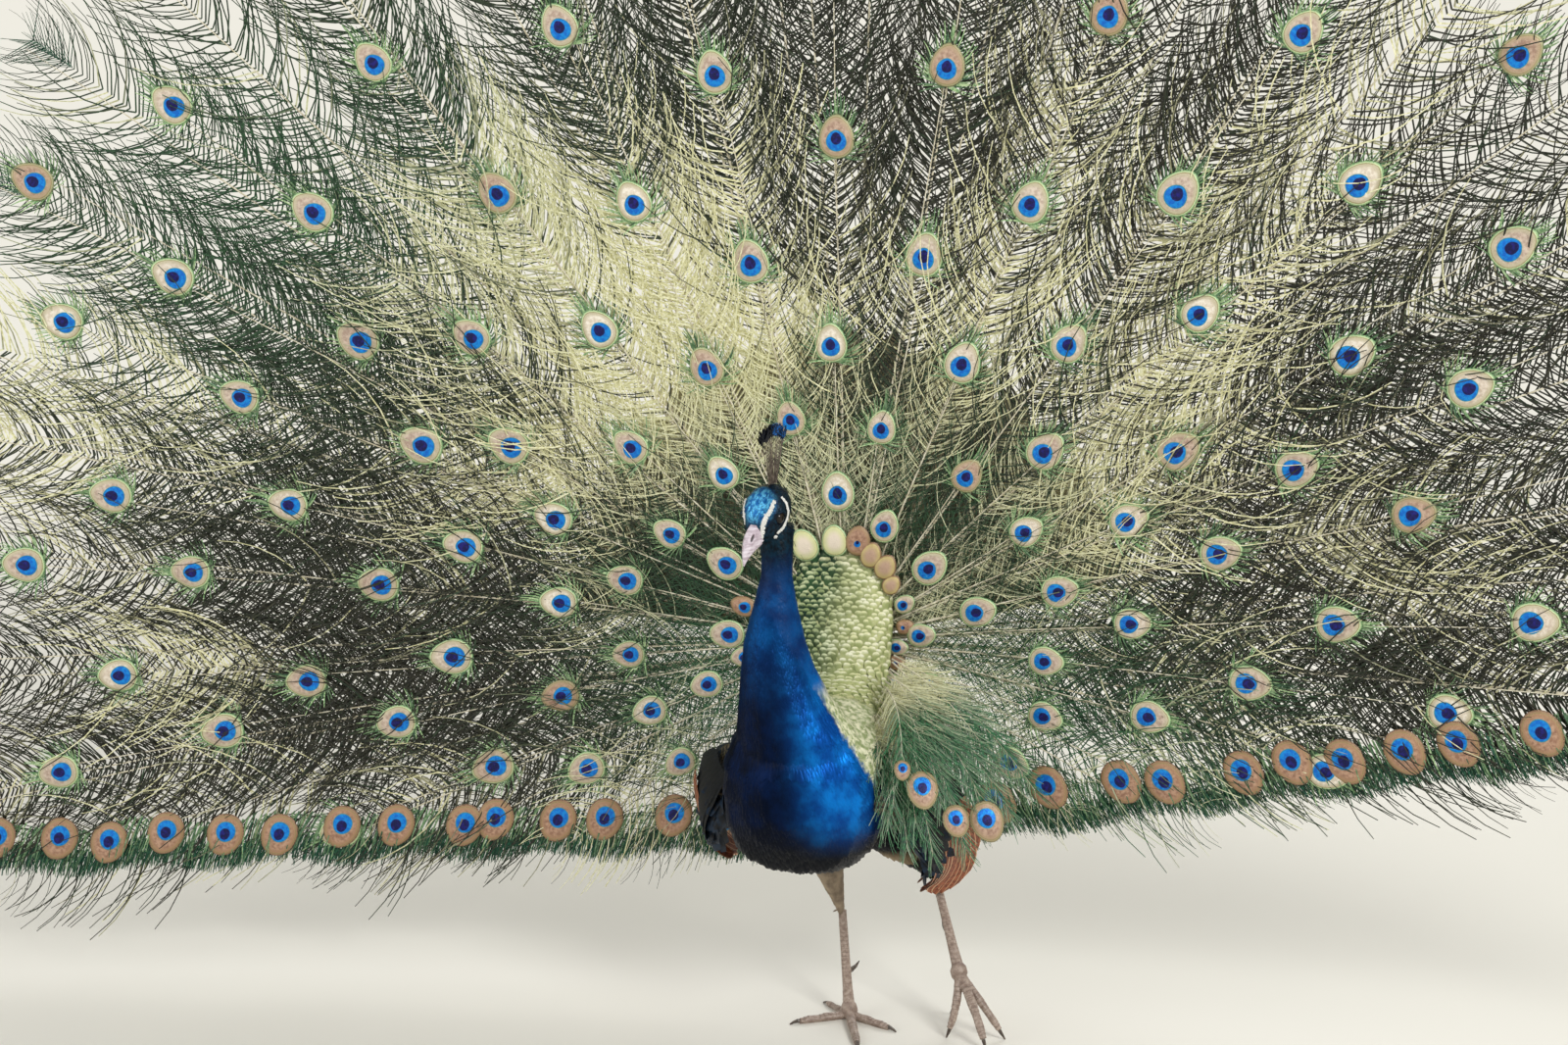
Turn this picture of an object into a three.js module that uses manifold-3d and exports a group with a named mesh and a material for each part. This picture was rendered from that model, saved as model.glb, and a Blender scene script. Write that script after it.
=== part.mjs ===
// A peacock displaying its train, life size, standing on its right foot with the left one just lifted.
// Millimetres, +Z up, facing -Y, so +X is the bird's own left. The origin is on the floor, at the centre
// of the pad of the right foot. Every piece is one closed solid, and pieces that touch keep GAP between them.
import * as THREE from "three";
import { mergeVertices } from "three/addons/utils/BufferGeometryUtils.js";
import Module from "manifold-3d";

const wasm = await Module();
wasm.setup();

const GAP = 0.3;
const MID = -22; // x of the middle plane of the hips and of the train
// Where the pad of the right foot stands in the places written here. add() moves it to the origin.
const STAND = { x: 8, y: 2 };
const V = (x, y, z) => new THREE.Vector3(x, y, z);
const LEFT = 1;
const RIGHT = -1;
const nameOf = (side) => (side === LEFT ? "left" : "right");

// ---------------------------------------------------------------- finishes
const paint = (color, roughness, metalness = 0) =>
  new THREE.MeshStandardMaterial({ color, roughness, metalness });
const MATERIALS = {
  blue: paint(0x0b3fb0, 0.4),
  scales: paint(0x8f9a3c, 0.45),
  barred: paint(0x6b5a40, 0.7),
  chestnut: paint(0x9a5a34, 0.7),
  train: paint(0x5d6b2e, 0.6),
  tail: paint(0x5b4c3a, 0.8),
  down: paint(0x3d352c, 0.95),
  leg: paint(0x8b7a66, 0.6),
  claw: paint(0x3a332d, 0.4),
  bill: paint(0xb9a9a2, 0.4),
  eye: paint(0x120c0a, 0.05),
  crest: paint(0x123f8c, 0.5),
};

// ---------------------------------------------------------------- shapes
// Merges a geometry's vertices, drops the faces that collapse, and makes a solid of it.
function solidOf(geometry) {
  const bare = geometry.index ? geometry.toNonIndexed() : geometry.clone();
  bare.deleteAttribute("normal");
  bare.deleteAttribute("uv");
  const merged = mergeVertices(bare, 1e-3);
  const index = merged.index.array;
  const kept = [];
  for (let i = 0; i < index.length; i += 3) {
    const [a, b, c] = index.subarray(i, i + 3);
    if (a !== b && b !== c && c !== a) kept.push(a, b, c);
  }
  return new wasm.Manifold(
    new wasm.Mesh({
      numProp: 3,
      vertProperties: merged.attributes.position.array,
      triVerts: new Uint32Array(kept),
    }),
  );
}

// A smooth run through rows of numbers: t from 0 to 1 gives the row at that share of the way.
function through(rows) {
  const last = rows.length - 1;
  const row = (i) => rows[Math.min(Math.max(i, 0), last)];
  return (t) => {
    const at = Math.min(t, 1) * last;
    const i = Math.min(Math.floor(at), last - 1);
    const f = at - i;
    return row(i).map((b, k) => {
      const [a, c, d] = [row(i - 1)[k], row(i + 1)[k], row(i + 2)[k]];
      const slope = c - a + f * (2 * a - 5 * b + 4 * c - d + f * (3 * (b - c) + d - a));
      return b + (f * slope) / 2;
    });
  };
}

// A closed surface through ovals. section(t) gives an oval's centre and its half-axes as vectors: side, rise
// and fall, where fall is the half below and may differ from rise. A round of 1 makes true ovals, and a lower
// one makes them boxier.
function loft(section, steps, sides, round = 1) {
  const eased = (x) => Math.sign(x) * Math.abs(x) ** round;
  const points = [];
  for (let i = 0; i <= steps; i++) {
    const { at, side, rise, fall = rise } = section(i / steps);
    for (let j = 0; j < sides; j++) {
      const turn = (2 * Math.PI * j) / sides;
      const up = eased(Math.sin(turn));
      const out = eased(Math.cos(turn));
      points.push(at.clone().addScaledVector(side, out).addScaledVector(up > 0 ? rise : fall, up));
    }
  }
  const faces = [];
  for (let i = 0; i < steps; i++)
    for (let j = 0; j < sides; j++) {
      const [a, b] = [i * sides + j, i * sides + ((j + 1) % sides)];
      faces.push([a, b, b + sides], [a, b + sides, a + sides]);
    }
  const first = points.length;
  points.push(section(0).at.clone(), section(1).at.clone());
  for (let j = 0; j < sides; j++) {
    const next = (j + 1) % sides;
    faces.push([first, next, j]);
    faces.push([first + 1, steps * sides + j, steps * sides + next]);
  }
  return facing(points, faces);
}

// A solid from points and faces, turned right side out.
function facing(points, faces) {
  const place = new Float32Array(faces.flat().flatMap((i) => points[i].toArray()));
  const geometry = new THREE.BufferGeometry();
  geometry.setAttribute("position", new THREE.BufferAttribute(place, 3));
  const made = solidOf(geometry);
  if (made.volume() > 0) return made;
  return facing(points, faces.map(([a, b, c]) => [a, c, b]));
}

// A tapering limb through rows of x, y, z and radius. wide makes it broader than deep, across its run.
function limb(rows, steps, sides, wide = 1) {
  const run = through(rows);
  return loft(
    (t) => {
      const [x, y, z, radius] = run(t);
      const [x1, y1, z1] = run(Math.min(t + 0.01, 1));
      const [x0, y0, z0] = run(Math.max(t - 0.01, 0));
      const along = V(x1 - x0, y1 - y0, z1 - z0).normalize();
      const level = Math.abs(along.z) > 0.9 ? V(0, 1, 0) : V(0, 0, 1);
      const side = V().crossVectors(along, level).normalize();
      const rise = V().crossVectors(side, along).multiplyScalar(radius);
      return { at: V(x, y, z), side: side.multiplyScalar(radius * wide), rise };
    },
    steps,
    sides,
  );
}

const without = (solid, ...others) => others.reduce((left, other) => left.subtract(other), solid);

// The largest piece of a solid, which drops crumbs that a cut leaves.
const largest = (solid) =>
  solid.decompose().reduce((best, piece) => (piece.volume() > best.volume() ? piece : best));

// Cuts a solid by a plane through point with the given normal, and keeps GAP between the two pieces.
function part(solid, point, normal) {
  const n = normal.clone().normalize();
  const at = n.dot(point);
  return {
    ahead: largest(solid.trimByPlane(n.toArray(), at + GAP / 2)),
    behind: largest(solid.trimByPlane(n.clone().negate().toArray(), GAP / 2 - at)),
  };
}

const bird = new THREE.Group();
function add(name, solid, material) {
  const { vertProperties, triVerts, numProp } = solid.getMesh();
  const geometry = new THREE.BufferGeometry();
  const place = new Float32Array((vertProperties.length / numProp) * 3);
  for (let i = 0; i < place.length / 3; i++)
    place.set(vertProperties.subarray(i * numProp, i * numProp + 3), i * 3);
  geometry.setAttribute("position", new THREE.BufferAttribute(place, 3));
  geometry.setIndex(new THREE.BufferAttribute(triVerts, 1));
  geometry.translate(-STAND.x, -STAND.y, 0);
  const mesh = new THREE.Mesh(geometry, material);
  mesh.name = name;
  bird.add(mesh);
}

// ---------------------------------------------------------------- trunk
// Rows from rump to breast: x, y, height of the centre, half-width, and depth above and below the centre.
const TRUNK = through([
  [-20, 128, 418, 14, 16, 16],
  [-20, 106, 413, 50, 40, 46],
  [-21, 56, 388, 76, 62, 92],
  [-22, 0, 350, 90, 80, 123],
  [-27, -58, 328, 95, 96, 113],
  [-31, -112, 328, 93, 92, 105],
  [-32, -160, 337, 74, 77, 85],
  [-31, -190, 346, 28, 32, 34],
]);
const trunkOf = (grow) =>
  loft(
    (t) => {
      const [x, y, z, width, above, below] = TRUNK(t);
      return {
        at: V(x, y + grow * (1 - 2 * t), z),
        side: V(width + grow, 0, 0),
        rise: V(0, 0, above + grow),
        fall: V(0, 0, below + grow),
      };
    },
    12,
    20,
    0.76,
  );

// ---------------------------------------------------------------- neck
// Rows from inside the breast to inside the head: x, y, z, half-width and half-depth. It leans to the right.
const NECK = through([
  [-30, -106, 350, 80, 78],
  [-32, -120, 395, 74, 71],
  [-46, -137, 453, 52, 53],
  [-53, -145, 504, 39, 40],
  [-52, -149, 551, 27, 29],
  [-50, -151, 588, 18, 21],
  [-49.5, -152, 620, 18, 20],
  [-50, -152, 650, 20, 21],
]);
const neckOf = (grow) =>
  loft(
    (t) => {
      const [x, y, z, width, depth] = NECK(t);
      return { at: V(x, y, z), side: V(width + grow, 0, 0), rise: V(0, depth + grow, 0) };
    },
    11,
    16,
  );

// ---------------------------------------------------------------- head
const HEAD_AT = V(-60, -161, 665);
const HEAD_BOW = THREE.MathUtils.degToRad(38); // the bill points this far below level
const HEAD_TURN = THREE.MathUtils.degToRad(-18); // and this far to the bird's right
const FORWARD = V(
  Math.sin(HEAD_TURN) * Math.cos(HEAD_BOW),
  -Math.cos(HEAD_TURN) * Math.cos(HEAD_BOW),
  -Math.sin(HEAD_BOW),
);
const LEFTWARD = V(Math.cos(HEAD_TURN), Math.sin(HEAD_TURN), 0);
const UPWARD = V().crossVectors(FORWARD, LEFTWARD);
const onHead = (ahead, left, up) =>
  HEAD_AT.clone().addScaledVector(FORWARD, ahead).addScaledVector(LEFTWARD, left).addScaledVector(UPWARD, up);

// A form along the head's own axis. Rows: distance ahead, height of the centre, half-width, and the depths
// above and below.
function headLoft(rows, steps, sides, grow = 0) {
  const run = through(rows);
  return loft(
    (t) => {
      const [ahead, up, width, above, below] = run(t);
      return {
        at: onHead(ahead + grow * (2 * t - 1), 0, up),
        side: LEFTWARD.clone().multiplyScalar(width + grow),
        rise: UPWARD.clone().multiplyScalar(above + grow),
        fall: UPWARD.clone().multiplyScalar(below + grow),
      };
    },
    steps,
    sides,
  );
}
const skullOf = (grow) =>
  headLoft(
    [
      [-37, -1, 5, 6, 6],
      [-30, -1, 17, 17, 17],
      [-14, 0, 25.5, 26, 26],
      [5, 0, 26.5, 26, 27],
      [19, -2, 20, 18, 21],
      [30, -5, 13, 12, 14],
      [36, -7, 9, 8, 10],
    ],
    9,
    16,
    grow,
  );

// The bill's halves meet along the gape, and the upper one hooks down over the end of the lower one.
const BILL_ROOT = 20;
const BILL_LENGTH = 51;
const GAPE = -11; // the height of the mouth's corner, from which the mouth line rises and then hooks down
const billUpperOf = (grow) =>
  headLoft(
    [
      [BILL_ROOT, GAPE, 12, 20, 1.2],
      [BILL_ROOT + 10, GAPE + 2, 11.5, 20, 1.2],
      [BILL_ROOT + 22, GAPE + 4.5, 9.5, 17.2, 1.2],
      [BILL_ROOT + 34, GAPE + 5.5, 6.6, 11.8, 1.6],
      [BILL_ROOT + 44, GAPE + 3.5, 3.4, 6.4, 2],
      [BILL_ROOT + BILL_LENGTH, GAPE - 0.5, 0.9, 1.2, 1.2],
    ],
    8,
    10,
    grow,
  );
const billLowerOf = (grow) =>
  headLoft(
    [
      [BILL_ROOT, GAPE - 2, 11.5, 2, 6],
      [BILL_ROOT + 10, GAPE, 10.5, 2, 6],
      [BILL_ROOT + 22, GAPE + 2.5, 7.6, 2, 5],
      [BILL_ROOT + 33, GAPE + 3, 4.6, 1.5, 3.4],
      [BILL_ROOT + 42, GAPE + 1, 1.6, 1, 1.6],
    ],
    6,
    10,
    grow,
  );

const EYE = { radius: 7.6, ahead: 7.2, out: 19, up: 2 };
const eyeOf = (side, grow) => {
  const at = onHead(EYE.ahead, side * EYE.out, EYE.up);
  return solidOf(new THREE.SphereGeometry(EYE.radius + grow, 12, 7).translate(at.x, at.y, at.z));
};

// ---------------------------------------------------------------- crest
// Bare shafts with broad tips, standing over the back of the crown and spread fore and aft.
const CREST = { foot: 4.5, height: 70, spread: 27, tip: 15, thick: 3.4, tips: 7, behind: 27, over: 18 };
function crestOf() {
  const outline = new THREE.Shape();
  const waist = CREST.height - CREST.tip - 5;
  outline.moveTo(-CREST.foot, -8);
  outline.lineTo(CREST.foot, -8);
  outline.lineTo(CREST.spread - 7, waist);
  for (let i = CREST.tips; i >= 0; i--) {
    const share = (2 * i) / CREST.tips - 1;
    const crown = CREST.height - 9 * share * share;
    const x = CREST.spread * share;
    outline.lineTo(x, crown - 5);
    if (i > 0) outline.lineTo(x - CREST.spread / CREST.tips, crown);
  }
  outline.lineTo(7 - CREST.spread, waist);
  const plate = new THREE.ExtrudeGeometry(outline, { depth: CREST.thick, bevelEnabled: false });
  plate.translate(0, 0, -CREST.thick / 2);
  const ahead = V(Math.sin(HEAD_TURN), -Math.cos(HEAD_TURN), 0);
  const rightward = LEFTWARD.clone().negate();
  const foot = onHead(-CREST.behind, 0, CREST.over);
  plate.applyMatrix4(new THREE.Matrix4().makeBasis(ahead, V(0, 0, 1), rightward).setPosition(foot));
  return solidOf(plate);
}

// ---------------------------------------------------------------- train
// The train's feathers lie in a shallow bowl, open to the front, and spread from its root behind the back.
// An angle on it is measured from straight up towards the bird's left.
const FAN_ROOT = V(MID + 8, 98, 457);
const FAN_ROLL = THREE.MathUtils.degToRad(5.5); // the left side stands higher than the right
const FAN_RADIUS = 1225;
const FAN_THICK = 1.2;
const FAN_SECTORS = 15;
const FAN_STEP = THREE.MathUtils.degToRad(12.9); // one sector
const TIPS = 3; // feather tips on the rim of a sector
const TIP_NOTCH = 60; // how deep the gaps between the rim's tips are
const HEM_DROP = 268; // how far under the root the train's lower edge hangs, next to the body
const HEM_RISE = { [LEFT]: 0.14, [RIGHT]: 0.05 }; // how fast that edge climbs outwards
const HEM_LAST = THREE.MathUtils.degToRad(152); // where the lowest and shortest feathers point
const HEM_PIECES = 2; // on each side

const bowl = (radius, angle) => {
  const forward = (radius / FAN_RADIUS) ** 1.7 * (85 + 115 * Math.sin(angle) ** 2);
  return V(
    FAN_ROOT.x + radius * Math.sin(angle - FAN_ROLL),
    FAN_ROOT.y - forward,
    FAN_ROOT.z + radius * Math.cos(angle - FAN_ROLL),
  );
};
// How far the feathers that point at an angle reach: to the round rim, or to the edge beside the body.
function reach(angle) {
  const rise = HEM_RISE[angle > 0 ? LEFT : RIGHT];
  const fall = rise * Math.abs(Math.sin(angle)) - Math.cos(angle);
  return fall > 0 ? Math.min(FAN_RADIUS, HEM_DROP / fall) : FAN_RADIUS;
}
// A rim of pointed tips, for a plate that starts at the angle from and spans width.
const tipped = (from, width, tips, notch) => (angle) => {
  const place = ((angle - from) / width) * tips;
  const off = Math.abs(place - Math.floor(place + 1e-6) - 0.5) * 2; // 0 on a tip, 1 between two
  return reach(angle) - notch * Math.min(off, 1);
};

// A plate on the bowl between two angles, from the radius inner out to rim(angle). It lies back behind the
// bowl's own surface.
function plateOf({ from, to, inner, rim, across, along, thick, back }) {
  const points = [];
  for (const depth of [back, back + thick])
    for (let i = 0; i <= across; i++)
      for (let j = 0; j <= along; j++) {
        const angle = from + ((to - from) * i) / across;
        points.push(bowl(inner + (rim(angle) - inner) * (j / along), angle).add(V(0, depth, 0)));
      }
  const row = along + 1;
  const sheet = row * (across + 1);
  const faces = [];
  const quad = (a, b, c, d) => faces.push([a, b, c], [a, c, d]);
  for (let i = 0; i < across; i++)
    for (let j = 0; j < along; j++) {
      const a = i * row + j;
      quad(a, a + 1, a + row + 1, a + row);
      quad(sheet + a, sheet + a + row, sheet + a + row + 1, sheet + a + 1);
    }
  for (let i = 0; i < across; i++) {
    const [a, b] = [i * row, i * row + along];
    quad(a, a + row, a + row + sheet, a + sheet);
    quad(b, b + sheet, b + row + sheet, b + row);
  }
  for (let j = 0; j < along; j++) {
    const a = across * row + j;
    quad(j, j + sheet, j + 1 + sheet, j + 1);
    quad(a, a + 1, a + 1 + sheet, a + sheet);
  }
  return facing(points, faces);
}
const SLIT = 0.0018; // half the gap between two plates, as an angle
function sectorOf(from, width, tips, notch) {
  return plateOf({
    from: from + SLIT,
    to: from + width - SLIT,
    inner: 46,
    rim: tipped(from + SLIT, width - 2 * SLIT, tips, notch),
    across: 2 * tips,
    along: 3,
    thick: FAN_THICK,
    back: 0,
  });
}

// ---------------------------------------------------------------- saddle
// The raised back, which the train grows from. Rows: z, y, half-width and half-depth.
const SADDLE = through([
  [368, 22, 24, 12],
  [396, 34, 54, 27],
  [448, 58, 68, 34],
  [500, 76, 69, 30],
  [546, 88, 57, 22],
  [584, 95, 34, 12],
  [602, 97, 10, 5],
]);
const saddleOf = (grow) =>
  loft(
    (t) => {
      const [z, y, width, depth] = SADDLE(t);
      const x = MID + 4 - 0.05 * (z - FAN_ROOT.z);
      const at = V(x, y, z + grow * (2 * t - 1));
      return { at, side: V(width + grow, 0, 0), rise: V(0, depth + grow, 0) };
    },
    9,
    14,
  );

// ---------------------------------------------------------------- tail
// The true tail is a fan of stiff feathers behind the train that props it up, with soft down under it.
const TAIL = { from: -1.35, width: 2.7, back: 24, thick: 2, radius: 400, feathers: 9 };
const tailOf = () =>
  plateOf({
    from: TAIL.from,
    to: TAIL.from + TAIL.width,
    inner: 30,
    rim: (angle) => {
      const place = ((angle - TAIL.from) / TAIL.width) * TAIL.feathers;
      return TAIL.radius - 16 * Math.abs(place - Math.floor(place + 1e-6) - 0.5) * 2;
    },
    across: 2 * TAIL.feathers,
    along: 1,
    thick: TAIL.thick,
    back: TAIL.back,
  });
const downOf = (grow) => {
  const ball = new THREE.SphereGeometry(1, 12, 8).scale(64 + grow, 42 + grow, 74 + grow);
  return solidOf(ball.translate(FAN_ROOT.x, FAN_ROOT.y + 34, FAN_ROOT.z - 84));
};

// ---------------------------------------------------------------- wings
// A drooped wing hangs from the shoulder, out and back past the flank. Rows: distance out from the middle,
// y, z, half-chord and half-thickness.
const WING = through([
  [46, -98, 374, 26, 12],
  [92, -76, 324, 50, 15],
  [126, -34, 266, 58, 14],
  [124, 12, 206, 52, 12],
  [105, 38, 155, 24, 5],
]);
// Which way the left wing's outer face looks, at its root and at its tip.
const WING_FACES = [V(0.9, -0.22, 0.36), V(0.6, -0.75, 0.3)];
const WING_SPREAD = { [LEFT]: 1.15, [RIGHT]: 1.05 };
const WING_LIFT = { [LEFT]: 0, [RIGHT]: 34 }; // how much higher the wing's tip hangs
const wingOf = (side) =>
  loft(
    (t) => {
      const [out, y, z, chord, thick] = WING(t);
      const [out1, y1, z1] = WING(Math.min(t + 0.01, 1));
      const [out0, y0, z0] = WING(Math.max(t - 0.01, 0));
      const along = V(out1 - out0, y1 - y0, z1 - z0).normalize();
      const face = WING_FACES[0].clone().lerp(WING_FACES[1], t);
      const across = V().crossVectors(face, along).normalize();
      const outward = V().crossVectors(along, across);
      const mirrored = (v, length) => V(v.x * side, v.y, v.z).multiplyScalar(length);
      return {
        at: V(MID + side * WING_SPREAD[side] * out, y, z + WING_LIFT[side] * t),
        side: mirrored(across, chord),
        rise: mirrored(outward, thick),
      };
    },
    10,
    10,
  );
const PRIMARIES_FROM = 0.62; // the share of a wing's length where the chestnut primaries begin

// ---------------------------------------------------------------- legs
// A leg runs from the hip, inside the trunk, by the ankle to the ball of the foot, which the toes grow from.
const LEGS = {
  [RIGHT]: {
    hip: [-36, -6, 266],
    ankle: [-6, 30, 122],
    ball: [STAND.x, STAND.y, 11],
    tips: { inner: [72, -30], middle: [38, -96], outer: [-59, -34], hind: [-32, 42] },
  },
  [LEFT]: {
    hip: [28, -4, 266],
    ankle: [104, 58, 172],
    ball: [144, -4, 74],
    tips: { inner: [134, -34], middle: [186, -62], outer: [204, -24], hind: [128, 42] },
  },
};
const TOE_RADIUS = { inner: 5.4, middle: 6, outer: 5.4, hind: 4.4 };
const TOE_END = 0.84; // a toe's fleshy part ends at this share of the way to the claw's tip
const between = (a, b, t) => a.map((x, i) => x + (b[i] - x) * t);

const shankOf = ({ hip, ankle }, grow) =>
  limb(
    [
      [...hip, 34 + grow],
      [...between(hip, ankle, 0.34), 26 + grow],
      [...between(hip, ankle, 0.66), 16 + grow],
      [...between(hip, ankle, 0.95), 6.2 + grow],
    ],
    5,
    10,
  );
const tarsusOf = ({ ankle, ball }, grow) =>
  limb(
    [
      [...between(ankle, ball, -0.06), 5.4 + grow],
      [...between(ankle, ball, 0.07), 5.3 + grow],
      [...between(ankle, ball, 0.3), 5.4 + grow],
      [...between(ankle, ball, 0.72), 6.1 + grow],
      [...between(ankle, ball, 0.98), 7.8 + grow],
    ],
    6,
    8,
  );
const ballOf = ({ ball }, grow) =>
  solidOf(new THREE.SphereGeometry(1, 10, 6).scale(11 + grow, 11 + grow, 13 + grow).translate(...ball));
const SPUR_AT = 0.6; // its share of the way down the tarsus
function spurOf({ ankle, ball }, side) {
  const root = between(ankle, ball, SPUR_AT);
  const on = (inward, back, up, radius) => [root[0] - side * inward, root[1] + back, root[2] + up, radius];
  return limb([on(1, 2, 0, 4), on(5, 8, 0.5, 3.3), on(9, 15, 2.5, 2.1), on(12, 21, 7, 0.6)], 3, 6);
}

// Rows along a digit: a share of the way, how far its middle stands over the floor, and its radius.
// On the foot that stands the digit lies along the floor; on the lifted one it hangs in an arch, tip down.
function digit({ ball }, tip, rows, steps, sides) {
  const lifted = ball[2] > 40;
  const placed = rows.map(([share, height, radius]) => {
    const [x, y, z] = between(ball, [...tip, 0.6], share);
    return lifted
      ? [x + 5 * Math.sin(Math.PI * share), y - 9 * Math.sin(Math.PI * share), z, radius]
      : [x, y, height, radius];
  });
  return limb(placed, steps, sides);
}
const toeOf = (leg, tip, r, grow) =>
  digit(
    leg,
    tip,
    [[0.04, r, r * 1.1 + grow], [0.22, r * 0.8, r * 0.92 + grow], [0.36, r * 0.85, r * 1.02 + grow],
      [0.5, r * 0.68, r * 0.84 + grow], [0.66, r * 0.74, r * 0.9 + grow],
      [TOE_END + grow / 60, r * 0.48, r * 0.6 + grow]],
    6,
    6,
  );
const clawOf = (leg, tip, r) =>
  digit(
    leg,
    tip,
    [[TOE_END - 0.05, r * 0.62, r * 0.46], [TOE_END + 0.03, r * 0.74, r * 0.44], [0.94, r * 0.5, r * 0.3],
      [1, 0.6, 0.9]],
    3,
    6,
  );
const grounded = (solid) => solid.trimByPlane([0, 0, 1], 0);

// ---------------------------------------------------------------- assembly
const trunkGrown = trunkOf(GAP);
const bodyGrown = trunkGrown.add(neckOf(GAP));
const saddleGrown = saddleOf(GAP);
const skullGrown = skullOf(GAP);

const body = trunkOf(0).add(neckOf(0)).add(skullOf(0));
const throat = part(body, V(-52, -150, 622), V(-0.15, -0.7, 1));
const nape = part(throat.behind, V(-52, -148, 560), V(0, -0.1, 1));
const collar = part(nape.behind, V(-53, -144, 500), V(0, -0.15, 1));
const breast = part(collar.behind, V(-46, -134, 440), V(-0.12, -0.35, 1));
const sockets = [LEFT, RIGHT].map((side) => eyeOf(side, GAP));
add("head", largest(without(throat.ahead, ...sockets)), MATERIALS.blue);
add("neck_upper", nape.ahead, MATERIALS.blue);
add("neck_middle", collar.ahead, MATERIALS.blue);
add("neck_lower", breast.ahead, MATERIALS.blue);
add("trunk", largest(without(breast.behind, saddleGrown)), MATERIALS.blue);
add("saddle", largest(saddleOf(0)), MATERIALS.scales);

add("bill_upper", largest(without(billUpperOf(0), skullGrown)), MATERIALS.bill);
add("bill_lower", largest(without(billLowerOf(0), skullGrown, billUpperOf(GAP))), MATERIALS.bill);
add("crest", largest(without(crestOf(), skullGrown)), MATERIALS.crest);

for (const side of [LEFT, RIGHT]) {
  add(`eye_${nameOf(side)}`, eyeOf(side, 0), MATERIALS.eye);

  const onWing = (t) => {
    const [out, y, z] = WING(t);
    return V(MID + side * WING_SPREAD[side] * out, y, z + WING_LIFT[side] * t);
  };
  const leg = LEGS[side];
  const [root, tip] = [onWing(PRIMARIES_FROM - 0.05), onWing(PRIMARIES_FROM + 0.05)];
  const cut = part(
    largest(without(wingOf(side), bodyGrown, shankOf(leg, GAP), tarsusOf(leg, GAP))),
    root.clone().add(tip).divideScalar(2),
    tip.clone().sub(root),
  );
  add(`wing_${nameOf(side)}`, cut.behind, MATERIALS.barred);
  add(`primaries_${nameOf(side)}`, cut.ahead, MATERIALS.chestnut);

  add(`thigh_${nameOf(side)}`, largest(without(shankOf(leg, 0), trunkGrown)), MATERIALS.leg);
  add(`tarsus_${nameOf(side)}`, largest(without(tarsusOf(leg, 0), shankOf(leg, GAP), ballOf(leg, GAP))),
    MATERIALS.leg);
  add(`spur_${nameOf(side)}`, largest(without(spurOf(leg, side), tarsusOf(leg, GAP))), MATERIALS.claw);
  const digits = Object.entries(leg.tips);
  const toes = digits.map(([name, tip]) => toeOf(leg, tip, TOE_RADIUS[name], 0));
  const foot = toes.reduce((all, toe) => all.add(toe), ballOf(leg, 0));
  add(`foot_${nameOf(side)}`, grounded(foot), MATERIALS.leg);
  digits.forEach(([name, tip], i) => {
    const claw = clawOf(leg, tip, TOE_RADIUS[name]);
    const cap = toeOf(leg, tip, TOE_RADIUS[name], GAP);
    add(`claw_${name}_${nameOf(side)}`, largest(grounded(without(claw, cap))), MATERIALS.claw);
  });
}

const down = largest(without(downOf(0), trunkGrown, saddleGrown));
add("undertail", down, MATERIALS.down);
const rump = [saddleGrown, trunkGrown, downOf(GAP)];
add("tail", largest(without(tailOf(), ...rump)), MATERIALS.tail);
const half = (FAN_SECTORS * FAN_STEP) / 2;
for (let i = 0; i < FAN_SECTORS; i++) {
  const sector = sectorOf(i * FAN_STEP - half, FAN_STEP, TIPS, TIP_NOTCH);
  add(`train_${String(i + 1).padStart(2, "0")}`, largest(without(sector, ...rump)), MATERIALS.train);
}
for (const side of [LEFT, RIGHT])
  for (let i = 0; i < HEM_PIECES; i++) {
    const width = (HEM_LAST - half) / HEM_PIECES;
    const from = side === LEFT ? half + i * width : -half - (i + 1) * width;
    const sector = sectorOf(from, width, 3, 26);
    add(`train_hem_${nameOf(side)}_${i + 1}`, largest(without(sector, ...rump)), MATERIALS.train);
  }

export default bird;
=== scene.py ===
import math

import bmesh
import bpy
import numpy as np
from mathutils import Matrix, Vector
from mathutils.bvhtree import BVHTree


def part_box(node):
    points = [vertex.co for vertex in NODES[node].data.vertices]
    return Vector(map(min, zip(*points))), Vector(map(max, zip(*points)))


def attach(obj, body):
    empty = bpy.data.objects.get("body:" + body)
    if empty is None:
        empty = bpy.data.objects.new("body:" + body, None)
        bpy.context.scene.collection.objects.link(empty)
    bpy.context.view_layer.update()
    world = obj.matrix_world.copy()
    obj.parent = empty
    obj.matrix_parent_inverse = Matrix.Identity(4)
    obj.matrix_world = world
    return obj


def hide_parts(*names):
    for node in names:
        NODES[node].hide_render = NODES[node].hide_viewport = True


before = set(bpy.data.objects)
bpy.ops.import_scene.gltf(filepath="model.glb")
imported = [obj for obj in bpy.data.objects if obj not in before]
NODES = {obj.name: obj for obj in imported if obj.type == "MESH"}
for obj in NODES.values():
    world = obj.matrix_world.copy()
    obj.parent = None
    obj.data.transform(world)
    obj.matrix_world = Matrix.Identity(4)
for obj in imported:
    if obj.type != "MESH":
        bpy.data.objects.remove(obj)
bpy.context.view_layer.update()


# ---------------------------------------------------------------------------------------------- studio
# A level studio: a pale floor and wall in one, soft lamps, and a camera a little above the bird's head.
# The bird faces -Y and stands with the ball of its right foot at the origin.
CAMERA_TURN = math.radians(12)  # round the bird, towards its left
CAMERA_TILT = math.radians(11.75)  # down from level
CAMERA_AWAY, CAMERA_UP, CAMERA_ASIDE = 2.8902, 1.224, -0.0802
LENS, SENSOR = 57.4, 36
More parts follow.
